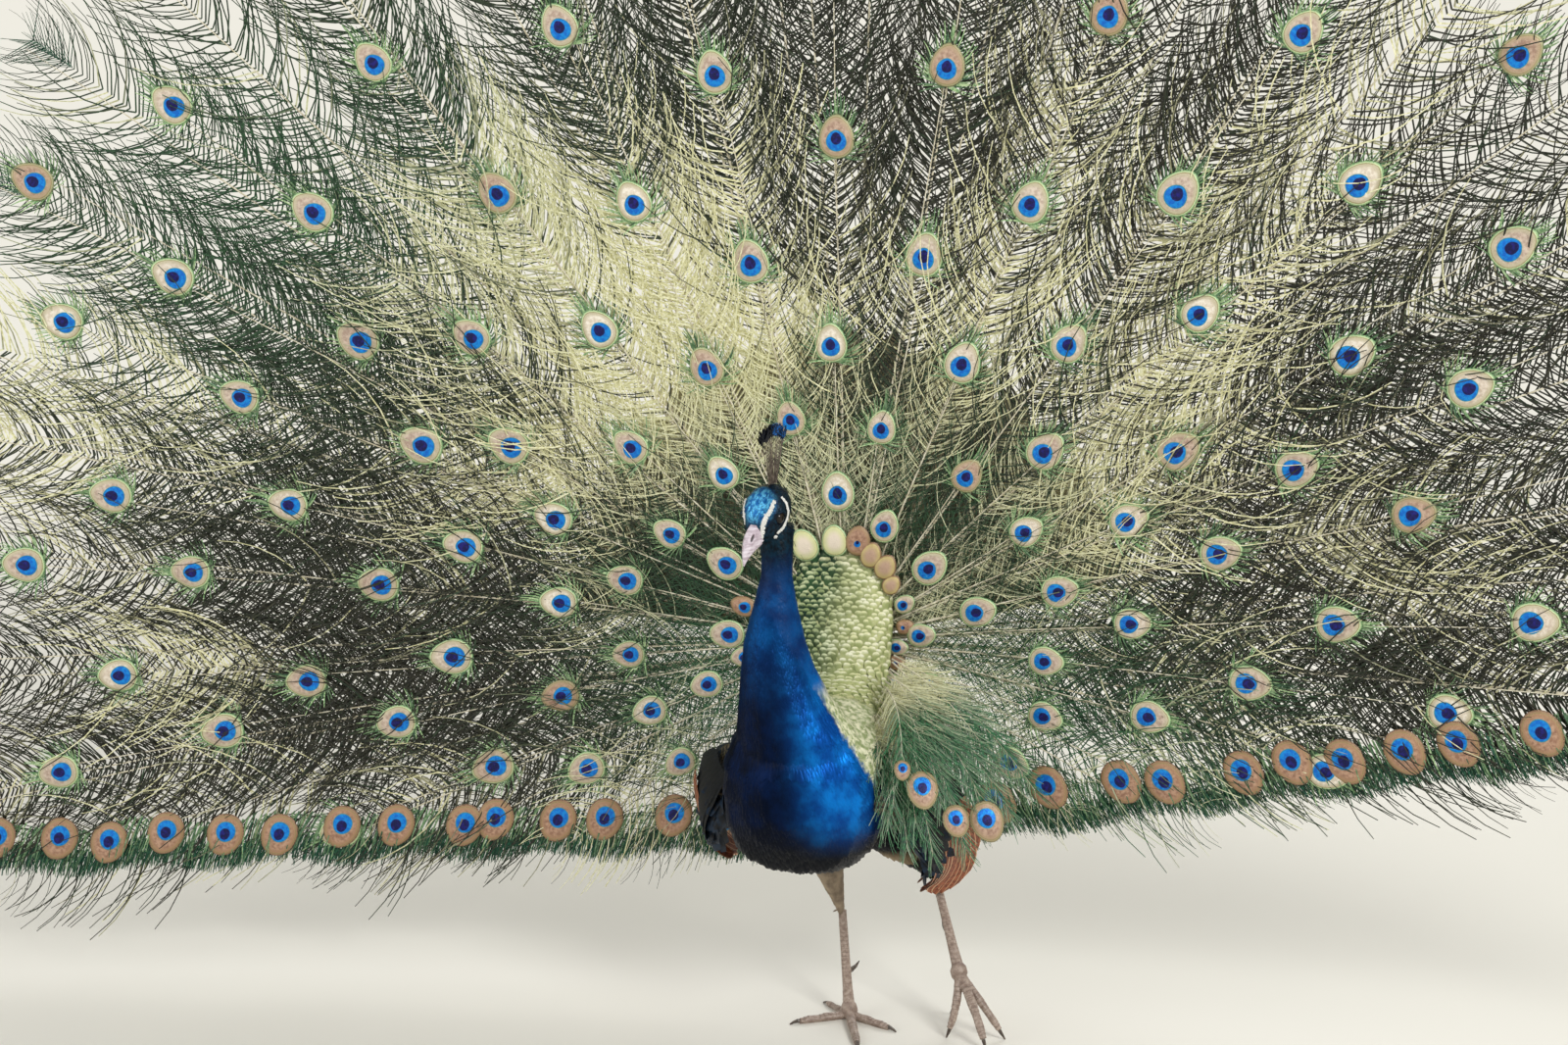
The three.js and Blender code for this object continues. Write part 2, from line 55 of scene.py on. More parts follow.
LAMPS = {"key": ((2.6, -2.6, 2.9), (0, 0, 0.6), 1.3, 85),  # place, aim, size and watts
         "fill": ((-2.8, -2.2, 1.8), (0, 0, 0.7), 2.4, 28),
         "back": ((0.6, 2.8, 2.6), (0, 0, 0.7), 2.0, 40)}
FLOOR_HALF, FLOOR_ROUGH = 30, 0.9
HAZE_FROM, HAZE_TO = 1.2, 4.5  # where the floor fades into the wall, from its middle

rightward = Vector((math.cos(CAMERA_TURN), math.sin(CAMERA_TURN), 0))
backward = Vector((math.sin(CAMERA_TURN), -math.cos(CAMERA_TURN), 0))
camera_data = bpy.data.cameras.new("camera")
camera_data.lens = LENS
camera_data.sensor_width = SENSOR


def object_of(name, data):
    """A new object in the scene, from its mesh, lamp or camera."""
    made = bpy.data.objects.new(name, data)
    bpy.context.scene.collection.objects.link(made)
    return made


camera = object_of("camera", camera_data)
camera.location = rightward * CAMERA_ASIDE + backward * CAMERA_AWAY + Vector((0, 0, CAMERA_UP))
camera.rotation_euler = (math.pi / 2 - CAMERA_TILT, 0, CAMERA_TURN)
bpy.context.scene.camera = camera
bpy.context.scene.view_settings.view_transform = "Standard"

for name, (at, aim, size, watts) in LAMPS.items():
    data = bpy.data.lights.new(name, "AREA")
    data.size = size
    data.energy = watts
    lamp = object_of(name, data)
    lamp.location = at
    lamp.rotation_euler = (Vector(aim) - Vector(at)).to_track_quat("-Z", "Y").to_euler()


def srgb(red, green, blue):
    """A colour written from 0 to 255, as the light values that sockets take."""
    parts = [part / 255 for part in (red, green, blue)]
    return (*(part / 12.92 if part <= 0.04045 else ((part + 0.055) / 1.055) ** 2.4 for part in parts), 1)


def feed(tree, socket, value):
    """Gives an input its value, or a link where the value is an output."""
    value = getattr(value, "socket", value)
    if isinstance(value, bpy.types.NodeSocket):
        tree.links.new(value, socket)
    else:
        socket.default_value = value


def node(tree, kind, settings=None, inputs=None):
    """Adds a node: first its settings, then what goes into its inputs, by name or number."""
    made = tree.nodes.new(kind)
    for key, value in (settings or {}).items():
        setattr(made, key, value)
    for key, value in (inputs or {}).items():
        feed(tree, made.inputs[key], value)
    return made


PALE = srgb(240, 237, 226)
world = bpy.data.worlds.new("studio")
bpy.context.scene.world = world
world.use_nodes = True
sky = world.node_tree
sky.nodes.clear()
ray = node(sky, "ShaderNodeLightPath")
seen = node(sky, "ShaderNodeMath", {"operation": "MAXIMUM"}, {0: ray.outputs["Is Camera Ray"],
                                                              1: ray.outputs["Is Glossy Ray"]})
level = node(sky, "ShaderNodeMix", {"data_type": "FLOAT"}, {0: seen.outputs[0], 2: 0.55, 3: 1.0})
tone = node(sky, "ShaderNodeMix", {"data_type": "RGBA"}, {0: seen.outputs[0], 6: (1, 1, 1, 1), 7: PALE})
shine = node(sky, "ShaderNodeBackground", None, {"Color": tone.outputs[2], "Strength": level.outputs[0]})
node(sky, "ShaderNodeOutputWorld", None, {"Surface": shine.outputs[0]})

floor_mesh = bpy.data.meshes.new("floor")
corners = [(x * FLOOR_HALF, y * FLOOR_HALF, 0) for x, y in ((-1, -1), (1, -1), (1, 1), (-1, 1))]
floor_mesh.from_pydata(corners, [], [(0, 1, 2, 3)])
floor = object_of("floor", floor_mesh)
floor_paint = bpy.data.materials.new("floor paint")
floor_paint.use_nodes = True
ground = floor_paint.node_tree
matt = ground.nodes["Principled BSDF"]
matt.inputs["Base Color"].default_value = PALE
matt.inputs["Roughness"].default_value = FLOOR_ROUGH
spot = node(ground, "ShaderNodeTexCoord")
gone = node(ground, "ShaderNodeVectorMath", {"operation": "LENGTH"}, {0: spot.outputs["Object"]})
faded = node(ground, "ShaderNodeMapRange", {"interpolation_type": "SMOOTHSTEP"},
             {"Value": gone.outputs["Value"], "From Min": HAZE_FROM, "From Max": HAZE_TO})
haze = node(ground, "ShaderNodeEmission", None, {"Color": PALE, "Strength": 1.0})
blend = node(ground, "ShaderNodeMixShader", None,
             {0: faded.outputs[0], 1: matt.outputs[0], 2: haze.outputs[0]})
feed(ground, ground.nodes["Material Output"].inputs["Surface"], blend.outputs[0])
floor_mesh.materials.append(floor_paint)


# ---------------------------------------------------------------------------------------------- skin
# The bird's own skin, in one piece from the bill's root to the undertail and down to the ankles. It lies
# under the coat, bare only round the eyes, and carries the same colours as the feathers that grow from it.
COAT = 0.003  # the coat's depth over the skin
FLESH = ["head", "neck_upper", "neck_middle", "neck_lower", "trunk", "saddle", "undertail", "thigh_left",
         "thigh_right"]
LID_OPEN, LID_EDGE, LID_END = 0.0057, 0.0066, 0.0094  # from the eye's middle: the opening, crest and foot
LID_OUT = 0.0052  # how far out from the eye's middle the lids' crest stands
EYE_AREA = 0.016  # no part of the lids is further than this from the eye's middle
EYE_RADIUS, EYE_AHEAD, EYE_UP = 0.0076, 0.0072, 0.002
HEAD_BOW, HEAD_TURN = math.radians(38), math.radians(-18)
AHEAD = np.array([math.sin(HEAD_TURN) * math.cos(HEAD_BOW), -math.cos(HEAD_TURN) * math.cos(HEAD_BOW),
                  -math.sin(HEAD_BOW)])
LEFTWARD = np.array([math.cos(HEAD_TURN), math.sin(HEAD_TURN), 0])
UPWARD = np.cross(AHEAD, LEFTWARD)
EYES = {word: np.mean(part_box("eye_" + word), axis=0) for word in ("left", "right")}
HEAD_AT = (EYES["left"] + EYES["right"]) / 2 - AHEAD * EYE_AHEAD - UPWARD * EYE_UP
shuffle = np.random.default_rng(7)


def copy_of(names):
    """One mesh of the named solids, with each one's loose triangles merged."""
    whole = bmesh.new()
    for name in names:
        whole.from_mesh(NODES[name].data)
    bmesh.ops.remove_doubles(whole, verts=whole.verts, dist=1e-5)
    mesh = bpy.data.meshes.new("copy")
    whole.to_mesh(mesh)
    whole.free()
    return mesh


def evaluated(thing):
    """The object's shape with its modifiers applied, as a new mesh."""
    return bpy.data.meshes.new_from_object(thing.evaluated_get(bpy.context.evaluated_depsgraph_get()))


def remeshed(name, names, voxel, smooths):
    """One closed, even skin over the named solids."""
    made = object_of(name, copy_of(names))
    remesh = made.modifiers.new("remesh", "REMESH")
    remesh.mode = "VOXEL"
    remesh.voxel_size = voxel
    remesh.use_smooth_shade = True
    for factor in (0.5, -0.5):  # the second pass gives back the bulk that the first one takes
        soft = made.modifiers.new("soft", "SMOOTH")
        soft.iterations = smooths
        soft.factor = factor
    shape = evaluated(made)
    made.modifiers.clear()
    made.data = shape
    return made


def vertices(mesh, kind="co"):
    """Every vertex's place, or its normal."""
    read = np.empty(len(mesh.vertices) * 3)
    mesh.vertices.foreach_get(kind, read)
    return read.reshape(-1, 3)


def move(thing, place):
    """Moves an object's vertices to new places."""
    thing.data.vertices.foreach_set("co", place.ravel())
    thing.data.update()


def store(mesh, name, values):
    """Keeps a number or a vector for each vertex."""
    kind, field = ("FLOAT", "value") if values.ndim == 1 else ("FLOAT_VECTOR", "vector")
    layer = mesh.attributes.new(name, kind, "POINT")
    layer.data.foreach_set(field, values.astype(np.float32).ravel())


def ease(low, high, value):
    """0 below low, 1 above high and a smooth rise between."""
    share = np.clip((value - low) / (high - low), 0, 1)
    return share * share * (3 - 2 * share)


def unit(vectors):
    return vectors / np.maximum(np.linalg.norm(vectors, axis=-1, keepdims=True), 1e-9)


skin = remeshed("skin", FLESH + ["eye_left", "eye_right"], 0.0034, 6)

# The head's skin is made finer, and finer again for the lids and the folds round them.
fine = bmesh.new()
fine.from_mesh(skin.data)
for middles, spread in (([HEAD_AT], 0.046), ([HEAD_AT], 0.046), (list(EYES.values()), 0.0135)):
    near = [face for face in fine.faces
            if min((face.calc_center_median() - Vector(spot)).length for spot in middles) < spread]
    edges = {edge for face in near for edge in face.edges}
    bmesh.ops.subdivide_edges(fine, edges=list(edges), cuts=1, use_grid_fill=True, smooth=0.6)
fine.to_mesh(skin.data)
fine.free()


def on_head(points):
    """Distances ahead, to the left and up from the middle of the head."""
    away = points - HEAD_AT
    return away @ AHEAD, away @ LEFTWARD, away @ UPWARD


def stripe(ahead, up, start, end, bend, width):
    """1 along a bent stripe on the side of the head, from start to end, fading at its edges."""
    (a0, u0), (a1, u1) = start, end
    run_a, run_u = a1 - a0, u1 - u0
    share = ((ahead - a0) * run_a + (up - u0) * run_u) / (run_a**2 + run_u**2)
    held = np.clip(share, 0, 1)
    bow = bend * 4 * held * (1 - held)
    off = np.hypot(ahead - a0 - run_a * held + bow * run_u, up - u0 - run_u * held - bow * run_a)
    return 1 - ease(width * 0.6, width, off)


def bare_at(points):
    """1 where the face is white: a stripe from the gape over the eye, one below the eye, and a spot."""
    ahead, aside, up = on_head(points)
    up = up + (aside < 0) * 0.0040  # the right side's are a little lower
    marks = [stripe(ahead, up, (0.0375, -0.0078), (-0.0010, 0.0200), -0.11, 0.0013),
             stripe(ahead, up, (0.0174, -0.0119), (-0.0112, 0.0142), 0.19, 0.0019),
             stripe(ahead, up, (0.0207, -0.0153), (0.0211, -0.0157), 0.0, 0.0016)]
    return np.max(marks, axis=0) * ((aside > 0.008) + (aside < -0.015)) * (np.hypot(ahead, up) < 0.05)


def round_eye(points, word):
    """How far points are from an eye's axis, and how far out along it. The axis leans ahead."""
    away = points - EYES[word]
    outward = unit(LEFTWARD * (1 if word == "left" else -1) + AHEAD * 0.33)
    out = away @ outward
    return np.linalg.norm(away - out[:, None] * outward, axis=1), out, outward


place = vertices(skin.data)
way = vertices(skin.data, "normal")
bare = bare_at(place)
depth = COAT * (0.30 + 0.70 * ease(0.62, 0.44, place[:, 2]))
place -= way * (depth * (1 - 0.9 * bare) - 0.0006 * bare)[:, None]
lidded = np.zeros(len(place))
for word in EYES:
    # The lids: skin that rises over the ball's edge in a thick fold and leaves a round opening.
    gone, out, outward = round_eye(place, word)
    near = (out > 0) * (np.linalg.norm(place - EYES[word], axis=1) < EYE_AREA)
    hidden = np.sqrt(EYE_RADIUS**2 - np.minimum(gone, LID_OPEN) ** 2) - 0.0018
    risen = ease(LID_OPEN, LID_EDGE, gone)
    level = hidden * (1 - risen) + LID_OUT * risen
    place += outward * ((level - out) * ease(LID_END, LID_EDGE + 0.0006, gone) * near)[:, None]
    lidded = np.maximum(lidded, ease(0.0100, 0.0084, gone) * near)
move(skin, place)
store(skin.data, "bare", bare)
store(skin.data, "lidded", lidded)

# The lie of the coat runs back from the bill, down the neck, and over the trunk to the tail. On the raised
# back it runs up, into the train.
SPINE = np.array([HEAD_AT + AHEAD * 0.03, HEAD_AT - AHEAD * 0.01 + UPWARD * 0.004, (-0.058, -0.150, 0.635),
                  (-0.058, -0.150, 0.56), (-0.059, -0.142, 0.48), (-0.050, -0.126, 0.40),
                  (-0.044, -0.104, 0.31), (-0.036, -0.045, 0.245), (-0.030, 0.048, 0.275),
                  (-0.028, 0.138, 0.37)])


def lie_of(points, way):
    """The way the coat lies at points on the skin."""
    lie = np.zeros_like(points)
    for start, end in zip(SPINE[:-1], SPINE[1:]):
        run = end - start
        share = np.clip((points - start) @ run / (run @ run), 0, 1)
        gone = np.linalg.norm(points - start - share[:, None] * run, axis=1)
        lie += unit(run) * (np.exp(-((gone / 0.045) ** 2)) + 1e-4 / (gone + 0.01) ** 2)[:, None]
    raised = ease(-0.05, 0.0, points[:, 1]) * ease(0.36, 0.42, points[:, 2])
    lie = unit(lie) * (1 - raised)[:, None] + np.array([0, 0.35, 1]) * raised[:, None]
    leg = ease(0.235, 0.205, points[:, 2]) * (points[:, 1] < 0.08)
    lie = lie * (1 - leg)[:, None] + np.array([0.1, 0.2, -1]) * leg[:, None]
    flat = lie - way * np.sum(lie * way, axis=1, keepdims=True)
    return unit(flat)


def unwrap(thing):
    """Spreads an object's faces over a new map, OFBake."""
    bpy.context.view_layer.objects.active = thing
    bpy.ops.object.select_all(action="DESELECT")
    thing.select_set(True)
    thing.data.uv_layers.new(name="OFBake")
    bpy.ops.object.mode_set(mode="EDIT")
    bpy.ops.mesh.select_all(action="SELECT")
    bpy.ops.uv.smart_project(angle_limit=1.1, island_margin=0.003)
    bpy.ops.object.mode_set(mode="OBJECT")


store(skin.data, "lie", lie_of(vertices(skin.data), vertices(skin.data, "normal")))
unwrap(skin)


class Wire:
    """An output in a material. Sums and products with it add Math nodes to that material."""

    def __init__(self, tree, socket):
        self.tree = tree
        self.socket = socket

    def math(self, operation, *values):
        made = node(self.tree, "ShaderNodeMath", {"operation": operation}, dict(enumerate(values)))
        return Wire(self.tree, made.outputs[0])

    def __add__(self, other):
        return self.math("ADD", self, other)

    def __sub__(self, other):
        return self.math("SUBTRACT", self, other)

    def __rsub__(self, other):
        return self.math("SUBTRACT", other, self)

    def __mul__(self, other):
        return self.math("MULTIPLY", self, other)

    def __pow__(self, other):
        return self.math("POWER", self, other)

    def __abs__(self):
        return self.math("ABSOLUTE", self)

    def wave(self):
        """From -1 to 1 and back as this grows by a full turn."""
        return self.math("SINE", self)

    __radd__ = __add__
    __rmul__ = __mul__

    def over(self, low, high):
        """0 below low, 1 above high and a smooth rise between."""
        made = node(self.tree, "ShaderNodeMapRange", {"interpolation_type": "SMOOTHSTEP"},
                    {"Value": self, "From Min": low, "From Max": high})
        return Wire(self.tree, made.outputs[0])

    def mix(self, off, on):
        """The colour off where this is 0, and on where it is 1."""
        made = node(self.tree, "ShaderNodeMix", {"data_type": "RGBA"}, {0: self, 6: off, 7: on})
        return Wire(self.tree, made.outputs[2])


class Finish:
    """A material in the making, with the few kinds of source that the finishes here read."""

    def __init__(self, name, **constants):
        self.material = bpy.data.materials.new(name)
        self.material.use_nodes = True
        self.tree = self.material.node_tree
        self.shader = self.tree.nodes["Principled BSDF"]
        for key, value in constants.items():
            self.shader.inputs[key.replace("_", " ").title().replace("Ior", "IOR")].default_value = value

    def source(self, kind, settings=None, inputs=None, output=0):
        """One output of a new node."""
        return Wire(self.tree, node(self.tree, kind, settings, inputs).outputs[output])

    def spot(self):
        """Where a point of the surface is."""
        return self.source("ShaderNodeTexCoord", output="Object")

    def parts(self, vector):
        """The three parts of a vector, or of what the mesh keeps under a name."""
        if isinstance(vector, str):
            vector = self.kept(vector, "Vector")
        split = node(self.tree, "ShaderNodeSeparateXYZ", None, {0: vector})
        return [Wire(self.tree, socket) for socket in split.outputs]

    def on_head(self):
        """Distances ahead and up from the middle of the head."""
        away = self.source("ShaderNodeVectorMath", {"operation": "SUBTRACT"},
                           {0: self.spot(), 1: tuple(HEAD_AT)})
        return [self.source("ShaderNodeVectorMath", {"operation": "DOT_PRODUCT"},
                            {0: away, 1: tuple(way)}, "Value") for way in (AHEAD, UPWARD)]

    def kept(self, name, output="Fac"):
        """What the mesh keeps under a name."""
        return self.source("ShaderNodeAttribute", {"attribute_name": name}, output=output)

    def noise(self, scale, detail=3.0, stretch=(1, 1, 1)):
        """Noise of about this many spots to a metre."""
        drawn = self.source("ShaderNodeMapping", None, {"Vector": self.spot(), "Scale": stretch})
        return self.source("ShaderNodeTexNoise", None, {"Vector": drawn, "Scale": scale, "Detail": detail})

    def mottled(self, scale, detail, dark, light, low=0.3, high=0.7):
        """Two colours, from 0 to 255, broken into each other by noise."""
        return self.noise(scale, detail).over(low, high).mix(srgb(*dark), srgb(*light))

    def bump(self, height, strength, depth):
        """A surface that rises with the height."""
        return self.source("ShaderNodeBump", None,
                           {"Height": height, "Strength": strength, "Distance": depth})

    def wear(self, **varying):
        """Feeds what varies over the surface, and gives the finished material."""
        for key, value in varying.items():
            feed(self.tree, self.shader.inputs[key.replace("_", " ").title()], value)
        return self.material


def shoulder(finish):
    """1 on the pale left shoulder, beside the blue of the breast, with a ragged edge."""
    x, y, z = finish.parts(finish.spot())
    edge = (finish.noise(130, 3) - 0.5) * 0.016
    return (x + y * 0.334 + z * 0.62 + edge).over(0.218, 0.226) * z.over(0.300, 0.345)


def plumage_colour(finish):
    """The body's colour at a place: cobalt in front, with painted light on the bird's left side and painted
    shade on its right and high on the throat, black below, gold-green on the raised back.
    """
    x, y, z = finish.parts(finish.spot())
    ahead, up = finish.on_head()
    patchy = finish.noise(38, 4).over(0.35, 0.68)
    # Painted light and shade: the blue is bright towards the bird's left side and navy towards its right and
    # high up the throat.
    lit = (x + 0.053 - (0.45 - z).over(0.0, 0.2) * 0.02).over(-0.010, 0.060)
    throat = z.over(0.42, 0.54)
    lit = lit * (1 - throat) + throat * (0.30 - z.over(0.565, 0.605) * 0.22)
    shade = patchy.mix(srgb(1, 11, 34), srgb(2, 24, 62))
    blue = (lit * (0.75 + patchy * 0.25)).mix(shade, patchy.mix(srgb(3, 84, 176), srgb(10, 122, 214)))
    crown = (up + ahead * 0.45).over(0.013, 0.026) * ahead.over(0.032, 0.018)
    ripple = finish.noise(240, 3, (1, 1, 0.6)).over(0.38, 0.62)
    scalp = crown.mix(ripple.mix(srgb(1, 16, 26), srgb(3, 38, 54)),
                      ripple.mix(srgb(14, 98, 170), srgb(96, 190, 240)))
    coat = (z + ahead * 0.35).over(0.604, 0.640).mix(blue, scalp)
    coat = z.over(0.325, 0.255).mix(coat, srgb(2, 6, 16))
    coat = (shoulder(finish) * z.over(0.470, 0.440)).mix(
        coat, finish.mottled(150, 3, (150, 164, 112), (240, 238, 204), 0.35, 0.65))
    back = (y + (z - 0.42) * 0.3).over(-0.052, -0.036) * z.over(0.325, 0.345)
    coat = back.mix(coat, finish.mottled(85, 3, (104, 120, 70), (212, 212, 158), 0.35, 0.65))
    coat = (y.over(0.095, 0.12) * z.over(0.47, 0.44)).mix(coat, srgb(58, 50, 42))  # the undertail's down
    return (z.over(0.222, 0.205) * y.over(0.085, 0.07)).mix(coat, srgb(150, 132, 104))  # the thighs


def wear_material(thing, material):
    """Gives an object one material, in place of what it had."""
    thing.data.materials.clear()
    thing.data.materials.append(material)


def join_bird(piece, slot, *replaced):
    """Takes a finished piece into the bird, in place of the solids that it covers."""
    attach(piece, "root")
    if replaced:
        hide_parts(*replaced)


flesh = Finish("skin under plumage", roughness=0.6, specular_ior_level=0.12)
white = flesh.kept("bare").over(0.3, 0.6).mix(plumage_colour(flesh), srgb(232, 230, 222))
lids = flesh.mottled(900, 2, (6, 9, 16), (20, 30, 44))
flesh.wear(base_color=flesh.kept("lidded").over(0.2, 0.8).mix(white, lids),
           normal=flesh.bump(flesh.noise(900, 2), 0.5, 0.0006))
wear_material(skin, flesh.material)
join_bird(skin, "blue_plumage", *FLESH)


# ---------------------------------------------------------------------------------------------- body coat
# Small overlapping feathers, each a thin cupped vane with its root in the skin. They are tiny on the head,
# like velvet on the neck, and larger over the breast, flanks and belly.
def grid_faces(rows, columns, first=0):
    """The faces of a sheet of rows by columns, whose vertices start at first."""
    wide = columns + 1
    corners = [first + i * wide + j for i in range(rows) for j in range(columns)]
    return [(low, low + 1, low + wide + 1, low + wide) for low in corners]


def grid_mesh(name, rows, columns, point):
    """A sheet of rows by columns, whose point(along, across) gives its place, with a map to match."""
    mesh = bpy.data.meshes.new(name)
    spots = [point(i / rows, 2 * j / columns - 1) for i in range(rows + 1) for j in range(columns + 1)]
    mesh.from_pydata(spots, [], grid_faces(rows, columns))
    layer = mesh.uv_layers.new(name="UVMap")
    for loop in mesh.loops:
        row, column = divmod(loop.vertex_index, columns + 1)
        layer.data[loop.index].uv = (column / columns, row / rows)
    mesh.update()
    return mesh


def shape_of(name, mesh, smooth=True):
    """A shape for the trees to repeat, which isn't in the scene itself."""
    mesh.polygons.foreach_set("use_smooth", [smooth] * len(mesh.polygons))
    return bpy.data.objects.new(name, mesh)


def vane_shape(name, blunt, cup, lift, rows=4, columns=2, tip=0.06):
    """A feather's vane of length 1 along +Y, full at blunt of its length, cupped, its tip lifted or laid."""
    def point(along, across):
        past = max(0, (along - blunt) / (1 - blunt))
        swell = (along / blunt) ** 0.6 if along < blunt else (1 - past**2) ** 0.5
        half = tip + (0.5 - tip) * swell
        rise = lift * math.sin(math.pi * min(along * 0.9, 1)) - cup * across**2 * half
        return (across * half, along, rise)
    return shape_of(name, grid_mesh(name, rows, columns, point))


def tree_with(name, *sockets):
    """A new geometry tree with these named inputs after its geometry: (name, kind)."""
    tree = bpy.data.node_groups.new(name, "GeometryNodeTree")
    tree.interface.new_socket("Geometry", in_out="INPUT", socket_type="NodeSocketGeometry")
    tree.interface.new_socket("Geometry", in_out="OUTPUT", socket_type="NodeSocketGeometry")
    for label, kind in sockets:
        tree.interface.new_socket(label, in_out="INPUT", socket_type="NodeSocket" + kind)
    return tree, tree.nodes.new("NodeGroupInput").outputs


def named(tree, name, kind="FLOAT_VECTOR"):
    return node(tree, "GeometryNodeInputNamedAttribute", {"data_type": kind}, {"Name": name}).outputs[0]


def vector_math(tree, operation, *values):
    made = node(tree, "ShaderNodeVectorMath", {"operation": operation})
    for socket, value in zip(made.inputs, values):
        feed(tree, socket, value)
    if operation == "SCALE":
        feed(tree, made.inputs["Scale"], values[1])
    return made.outputs[0]


def finish_instances(tree, instances, root, inputs):
    """Realizes the instances, lays each one's patch at its root's place on the map, and sets the material."""
    real = node(tree, "GeometryNodeRealizeInstances", None, {0: instances})
    own = named(tree, "UVMap")
    patch = vector_math(tree, "SCALE", own, inputs["Patch"])
    laid = vector_math(tree, "ADD", root, patch)
    kept = node(tree, "GeometryNodeStoreNamedAttribute", {"data_type": "FLOAT2", "domain": "CORNER"},
                {"Geometry": real.outputs[0], "Name": "OFBake", "Value": laid})
    done = node(tree, "GeometryNodeSetMaterial", None,
                {"Geometry": kept.outputs[0], "Material": inputs["Material"]})
    node(tree, "NodeGroupOutput", None, {0: done.outputs[0]})


# Grows vanes over the skin, thick where its zone says, along the lie it keeps.
COAT_TREE, coat_in = tree_with(
    "coat", ("Vane", "Object"), ("Zone", "String"), ("Gap", "Float"), ("Length", "Float"),
    ("Width", "Float"), ("Tilt", "Float"), ("Seed", "Int"), ("Patch", "Float"), ("Material", "Material"))
zone = node(COAT_TREE, "GeometryNodeInputNamedAttribute", {"data_type": "FLOAT"}, {"Name": coat_in["Zone"]})
sown = node(COAT_TREE, "GeometryNodeDistributePointsOnFaces", {"distribute_method": "POISSON"},
            {"Mesh": coat_in["Geometry"], "Distance Min": coat_in["Gap"], "Density Max": 9e5,
             "Density Factor": zone.outputs[0], "Seed": coat_in["Seed"]})
lie = named(COAT_TREE, "lie")
fuzz = node(COAT_TREE, "FunctionNodeRandomValue", {"data_type": "FLOAT_VECTOR"},
            {0: (-0.16, -0.16, -0.16), 1: (0.16, 0.16, 0.16), "Seed": coat_in["Seed"]})
loose = vector_math(COAT_TREE, "ADD", lie, fuzz.outputs[0])
lifted = vector_math(COAT_TREE, "SUBTRACT", sown.outputs["Normal"],
                     vector_math(COAT_TREE, "SCALE", lie, coat_in["Tilt"]))
turn = node(COAT_TREE, "FunctionNodeAxesToRotation", {"primary_axis": "Z", "secondary_axis": "Y"},
            {0: lifted, 1: loose})
vane = node(COAT_TREE, "GeometryNodeObjectInfo", None, {"Object": coat_in["Vane"]})
varied = node(COAT_TREE, "FunctionNodeRandomValue", {"data_type": "FLOAT"}, {2: 0.8, 3: 1.2})
size = node(COAT_TREE, "ShaderNodeCombineXYZ", None,
            {0: coat_in["Width"], 1: coat_in["Length"], 2: coat_in["Length"]})
scaled = vector_math(COAT_TREE, "SCALE", size.outputs[0], varied.outputs[1])
rooted = node(COAT_TREE, "GeometryNodeStoreNamedAttribute", {"data_type": "FLOAT_VECTOR", "domain": "POINT"},
              {"Geometry": sown.outputs["Points"], "Name": "root", "Value": named(COAT_TREE, "OFBake")})
grown = node(COAT_TREE, "GeometryNodeInstanceOnPoints", None,
             {"Points": rooted.outputs[0], "Instance": vane.outputs["Geometry"],
              "Rotation": turn.outputs[0], "Scale": scaled})
finish_instances(COAT_TREE, grown.outputs[0], named(COAT_TREE, "root"), coat_in)


def run_tree(thing, tree, **values):
    """The mesh that a tree makes of an object, its inputs set by name."""
    modifier = thing.modifiers.new("grow", "NODES")
    modifier.node_group = tree
    for item in tree.interface.items_tree:
        if item.in_out == "INPUT" and item.name in values:
            modifier[item.identifier] = values[item.name]
    shape = evaluated(thing)
    thing.modifiers.remove(modifier)
    return shape


def add_piece(name, mesh, slot, *replaced):
    """A finished piece of the bird, from its mesh."""
    join_bird(object_of(name, mesh), slot, *replaced)


PATCH = 0.003  # the side of a feather's place on the map


def feather_coat(name, zone, slot, vane, material, gap, length, width, tilt, seed):
    """A coat of feathers over the skin's zone: the gap between roots, each one's size and its lift."""
    store(skin.data, name, zone)
    add_piece(name, run_tree(skin, COAT_TREE, Vane=vane, Zone=name, Gap=gap, Length=length, Width=width,
                             Tilt=tilt, Seed=seed, Patch=PATCH, Material=material), slot)


SMALL_VANE = vane_shape("small vane", 0.6, 0.25, 0.10, rows=3)
BODY_VANE = vane_shape("body vane", 0.62, 0.3, 0.07)

sheen = Finish("iridescent plumage", roughness=0.40, specular_ior_level=0.12)
z = sheen.parts(sheen.spot())[2]
sheen.wear(base_color=plumage_colour(sheen), metallic=z.over(0.235, 0.330) * (1 - shoulder(sheen)) * 0.6,
           normal=sheen.bump(sheen.noise(1500, 2), 0.25, 0.0004))
scalp_sheen = Finish("crown feathers", roughness=0.36, metallic=0.5, specular_ior_level=0.3)
u, v, _ = scalp_sheen.parts("UVMap")
# Each crown feather darkens towards its edge: painted shade between the overlapping feathers.
rim = ((u - 0.5) ** 2 * 3.0 + (v - 0.5) ** 2 * 2.6) ** 0.5
scalp_sheen.wear(base_color=rim.over(0.62, 0.95).mix(plumage_colour(scalp_sheen), srgb(3, 30, 62)))
downy_white = Finish("white face feathers", roughness=0.7)
downy_white.wear(base_color=downy_white.mottled(700, 2, (206, 206, 200), (246, 245, 240)))

place, way = vertices(skin.data), vertices(skin.data, "normal")
ahead, aside, up = on_head(place)
lie = lie_of(place, way)
near_bare = np.maximum(bare, np.maximum(bare_at(place + lie * 0.0016), bare_at(place + lie * 0.0030)))
clear = 1 - ease(0.25, 0.6, near_bare)  # no feathers over the white stripes, the eyes and the bill's root
for word in EYES:
    gone = round_eye(place, word)[0]
    clear *= np.where(np.linalg.norm(place - EYES[word], axis=1) < EYE_AREA, ease(0.0078, 0.0090, gone), 1)
clear = np.clip(clear * (ease(0.031, 0.027, ahead) + (place[:, 2] < 0.6)), 0, 1)


